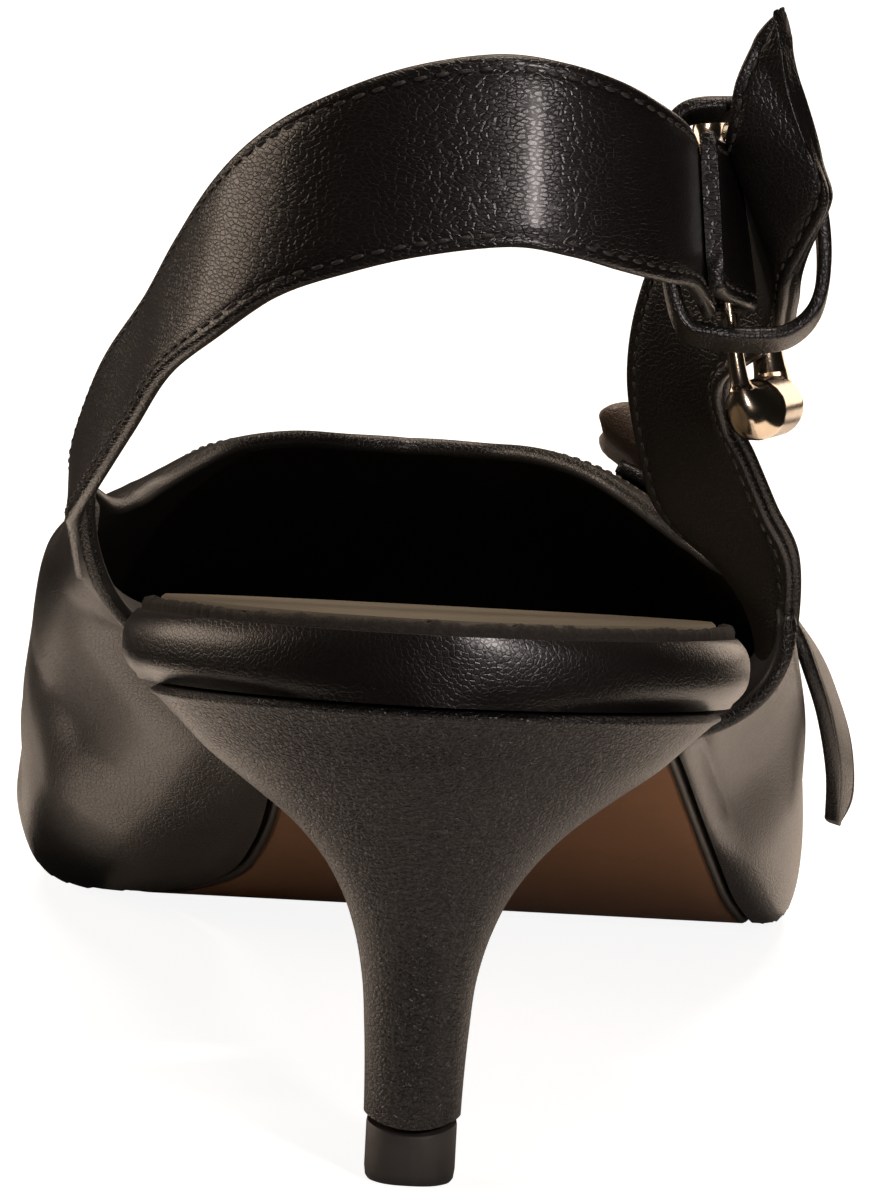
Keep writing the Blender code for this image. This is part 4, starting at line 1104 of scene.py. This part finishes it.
def make_outsole():
    ys = np.concatenate([[BREAST, BREAST + 0.15, BREAST + 0.5], np.linspace(BREAST + 1.2, 226, 170),
                         TOE_TIP - 8.2 * np.cos(np.linspace(0, math.pi / 2, 22))])
    rings, rims = (np.array(part) for part in zip(*(sole_ring(y) for y in ys)))
    piece = loft("outsole_leather", rings, [sole_leather()], turn=50)
    tree = nearest(rings.reshape(-1, 3))
    rim = piece.data.attributes.new("rim", "FLOAT", "POINT")
    rim.data.foreach_set("value", [rims.ravel()[tree.find(v.co)[1]] for v in piece.data.vertices])
    return piece


outsole = make_outsole()
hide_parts("outsole")
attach(outsole, "root")


# Heel: a moulded core with nappa drawn tightly round it and glued, flared at the seat and slim at the tip.
# The leather's edge at the top is turned over, which leaves a thin rounded rim under the seat band.
TIP_HEIGHT = 6.0
TIP_SAG = 0.9

# Share of the height from tip to seat, width, back y, front y, centre x
HEEL = [(0.00, 9.2, -4.6, 4.2, 0.0), (0.05, 9.3, -4.7, 4.3, 0.0), (0.20, 9.9, -5.0, 4.6, 0.0),
        (0.34, 11.0, -5.6, 5.2, 0.0), (0.45, 13.2, -6.5, 6.2, 0.1), (0.54, 16.2, -7.8, 7.6, 0.2),
        (0.62, 20.4, -9.4, 9.6, 0.3), (0.70, 26.4, -11.4, 12.6, 0.3), (0.78, 34.6, -13.8, 16.6, 0.2),
        (0.86, 43.2, -16.0, 21.2, 0.2), (0.925, 48.6, -17.6, 25.2, 0.2), (0.97, 52.4, -18.9, 28.0, 0.2),
        (0.99, 54.0, -19.5, 29.2, 0.2), (1.00, 52.6, -18.9, 28.8, 0.2)]


def heel_ring(share):
    width, back, front, centre = (float(along(HEEL, share, c)) for c in (1, 2, 3, 4))
    middle, depth = (back + front) / 2, (front - back) / 2
    ring = []
    for a in full_turn(112):
        c, s = math.cos(a), math.sin(a)
        blunt = (0.86 if c > 0 else 1.0) - 0.16 * float(ease(share, 0.4, 0.6))
        y = middle + depth * math.copysign(abs(c) ** blunt, c)
        x = centre + width / 2 * math.copysign(abs(s) ** 0.92, s)
        sag = TIP_SAG * (1 - min(1.0, abs(x - centre) / (width / 2)) ** 2)
        base = TIP_HEIGHT + GAP - sag
        ring.append((x, y, base + share * (float(underside(y)) - base)))
    return ring


def make_heel(finish):
    shares = np.concatenate([[0.0, 0.004], np.linspace(0.012, 0.96, 86),
                             [0.97, 0.977, 0.984, 0.99, 0.994, 0.997, 1.0]])
    rings = [heel_ring(s) for s in shares]
    middle = np.mean(rings[0], axis=0)
    rings[0] = [tuple(middle + (np.array(p) - middle) * 0.93) for p in rings[0]]
    return loft("heel_cover", rings, [finish], turn=50)


heel_nappa = nappa("heel_nappa", gloss=0.34, grain=0.075, crinkle=0.09)
heel = make_heel(heel_nappa)
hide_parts("heel")
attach(heel, "root")


# Top piece: the small dark polyurethane tip pinned under the heel; its upper line follows the heel's curve.
TIP_WIDTH = 8.6
TIP_HALF_DEEP = 4.2

# The tip's height and how wide it is there
TIP = [(0.0, 0.86), (0.12, 0.93), (0.4, 0.975), (1.2, 1.0), (2.6, 1.0), (4.0, 1.0), (5.4, 1.0), (5.75, 0.985),
       (5.85, 0.95)]


def top_piece_finish():
    made = Finish("top_piece", IOR=1.5)
    mould, scuff = made.noise((700, 700, 1800), 4.0), made.noise((260, 260, 90), 5.0)
    made.lead("Base Color", made.mix(scuff.step(0.45, 0.7), (0.030, 0.027, 0.025), (0.055, 0.049, 0.044)))
    made.lead("Roughness", 0.40 + scuff * 0.25)
    made.relief(mould, 0.03)
    return made.material


def make_tip():
    rings = []
    for z, scale in TIP:
        ring = []
        for a in full_turn(96):
            c, s = math.cos(a), math.sin(a)
            x = TIP_WIDTH / 2 * scale * math.copysign(abs(s) ** 0.8, s)
            y = -0.2 + TIP_HALF_DEEP * scale * math.copysign(abs(c) ** 0.8, c)
            sag = TIP_SAG * (1 - min(1.0, abs(x) / (TIP_WIDTH / 2)) ** 2) * z / TIP[-1][0]
            ring.append((x, y, z - sag))
        rings.append(ring)
    return loft("top_piece", rings, [top_piece_finish()], turn=50)


heel_tip = make_tip()
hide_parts("heel_tip")
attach(heel_tip, "root")


# Set: a pale floor that only the camera sees, cards under it that only the shoe sees, a softbox overhead,
# a window on each side, a small light by the strap and a high one behind the heel. The camera stands behind
# the heel at the photograph's angle.
WARM = (1.0, 0.80, 0.64)

# Cards under the floor: x from, x to, y from, y to, glow
CARDS = [(-0.078, -0.035, -0.01, 0.115, 0.95), (0.04, 0.12, -0.01, 0.25, 0.45),
         (-0.075, 0.26, 0.29, 0.60, 0.3), (-0.05, 0.05, -0.034, -0.012, 0.4),
         (-0.034, 0.039, -0.011, 0.20, 0.0), (-0.075, -0.036, 0.15, 0.289, 0.3)]


def sheet(name, edges, height, finish, light, tones):
    """A flat glowing sheet; light holds the glow's colour and strength, tones the two greys of its face."""
    x0, x1, y0, y1 = edges
    mesh = bpy.data.meshes.new(name)
    corners = [(x, y, height) for x, y in ((x0, y0), (x1, y0), (x1, y1), (x0, y1))]
    mesh.from_pydata(corners, [], [(0, 1, 2, 3)])
    made = Finish(finish, Roughness=0.9, Emission_Color=(*light[0], 1.0), Emission_Strength=light[1])
    made.lead("Base Color", made.mix(made.noise(300, 3.0), *tones))
    mesh.materials.append(made.material)
    return add_object(name, mesh)


def make_floor():
    greys = (0.50, 0.50, 0.49), (0.54, 0.54, 0.53)
    floor = sheet("floor", (-4, 4, -4, 6), 0, "pale_floor", ((1.0, 1.0, 1.0), 0.90), greys)
    floor.visible_glossy = False
    floor.visible_diffuse = False
    floor.visible_shadow = False


def make_cards():
    whites = (0.78, 0.77, 0.75), (0.82, 0.81, 0.79)
    for number, (*edges, glow) in enumerate(CARDS, 1):
        card = sheet(f"card_{number}", edges, -0.0006, f"card_{number}", (WARM, glow), whites)
        card.visible_camera = False


def softbox(name, spot, target, size, power, colour):
    light = bpy.data.lights.new(name, "AREA")
    light.shape = "RECTANGLE"
    light.size, light.size_y = size
    light.energy = power
    light.color = colour
    lamp = add_object(name, light)
    lamp.rotation_euler = (Vector(target) - Vector(spot)).to_track_quat("-Z", "Y").to_euler()
    lamp.location = spot


def make_camera():
    data = bpy.data.cameras.new("rear_camera")
    data.lens = 324.0
    data.sensor_width = 36.0
    data.shift_x = -0.00375
    data.clip_start, data.clip_end = 0.05, 20.0
    camera = add_object("rear_camera", data)
    turn = Matrix.Rotation(math.radians(90 - 9.4519), 4, "X") @ Matrix.Rotation(math.radians(3.0), 4, "Z")
    camera.matrix_world = Matrix.Translation((0.0, -1.0, 0.222)) @ turn
    bpy.context.scene.camera = camera


make_floor()
make_cards()
make_camera()
softbox("overhead_softbox", (-0.05, 0.62, 1.30), (-0.05, 0.30, 0.0), (1.2, 0.8), 15.0, WARM)
softbox("left_window", (-1.15, 0.42, 0.26), (0.0, 0.05, 0.07), (1.0, 0.5), 5.6, WARM)
softbox("right_window", (0.48, 0.98, 0.18), (0.03, 0.1, 0.05), (0.5, 0.35), 1.1, WARM)
softbox("strap_light", (0.056, -0.121, 0.084), (0.006, -0.014, 0.10), (0.012, 0.020), 0.085, (1.0, 0.90, 0.87))
softbox("high_light", (0.05, -0.25, 0.95), (0.0, 0.0, 0.06), (0.30, 0.12), 4.0, (1.0, 0.84, 0.74))
world = bpy.data.worlds.new("studio")
world.use_nodes = True
world.node_tree.nodes["Background"].inputs[0].default_value = (1.0, 0.97, 0.93, 1.0)
world.node_tree.nodes["Background"].inputs[1].default_value = 0.008
bpy.context.scene.world = world
bpy.context.scene.view_settings.view_transform = "Standard"
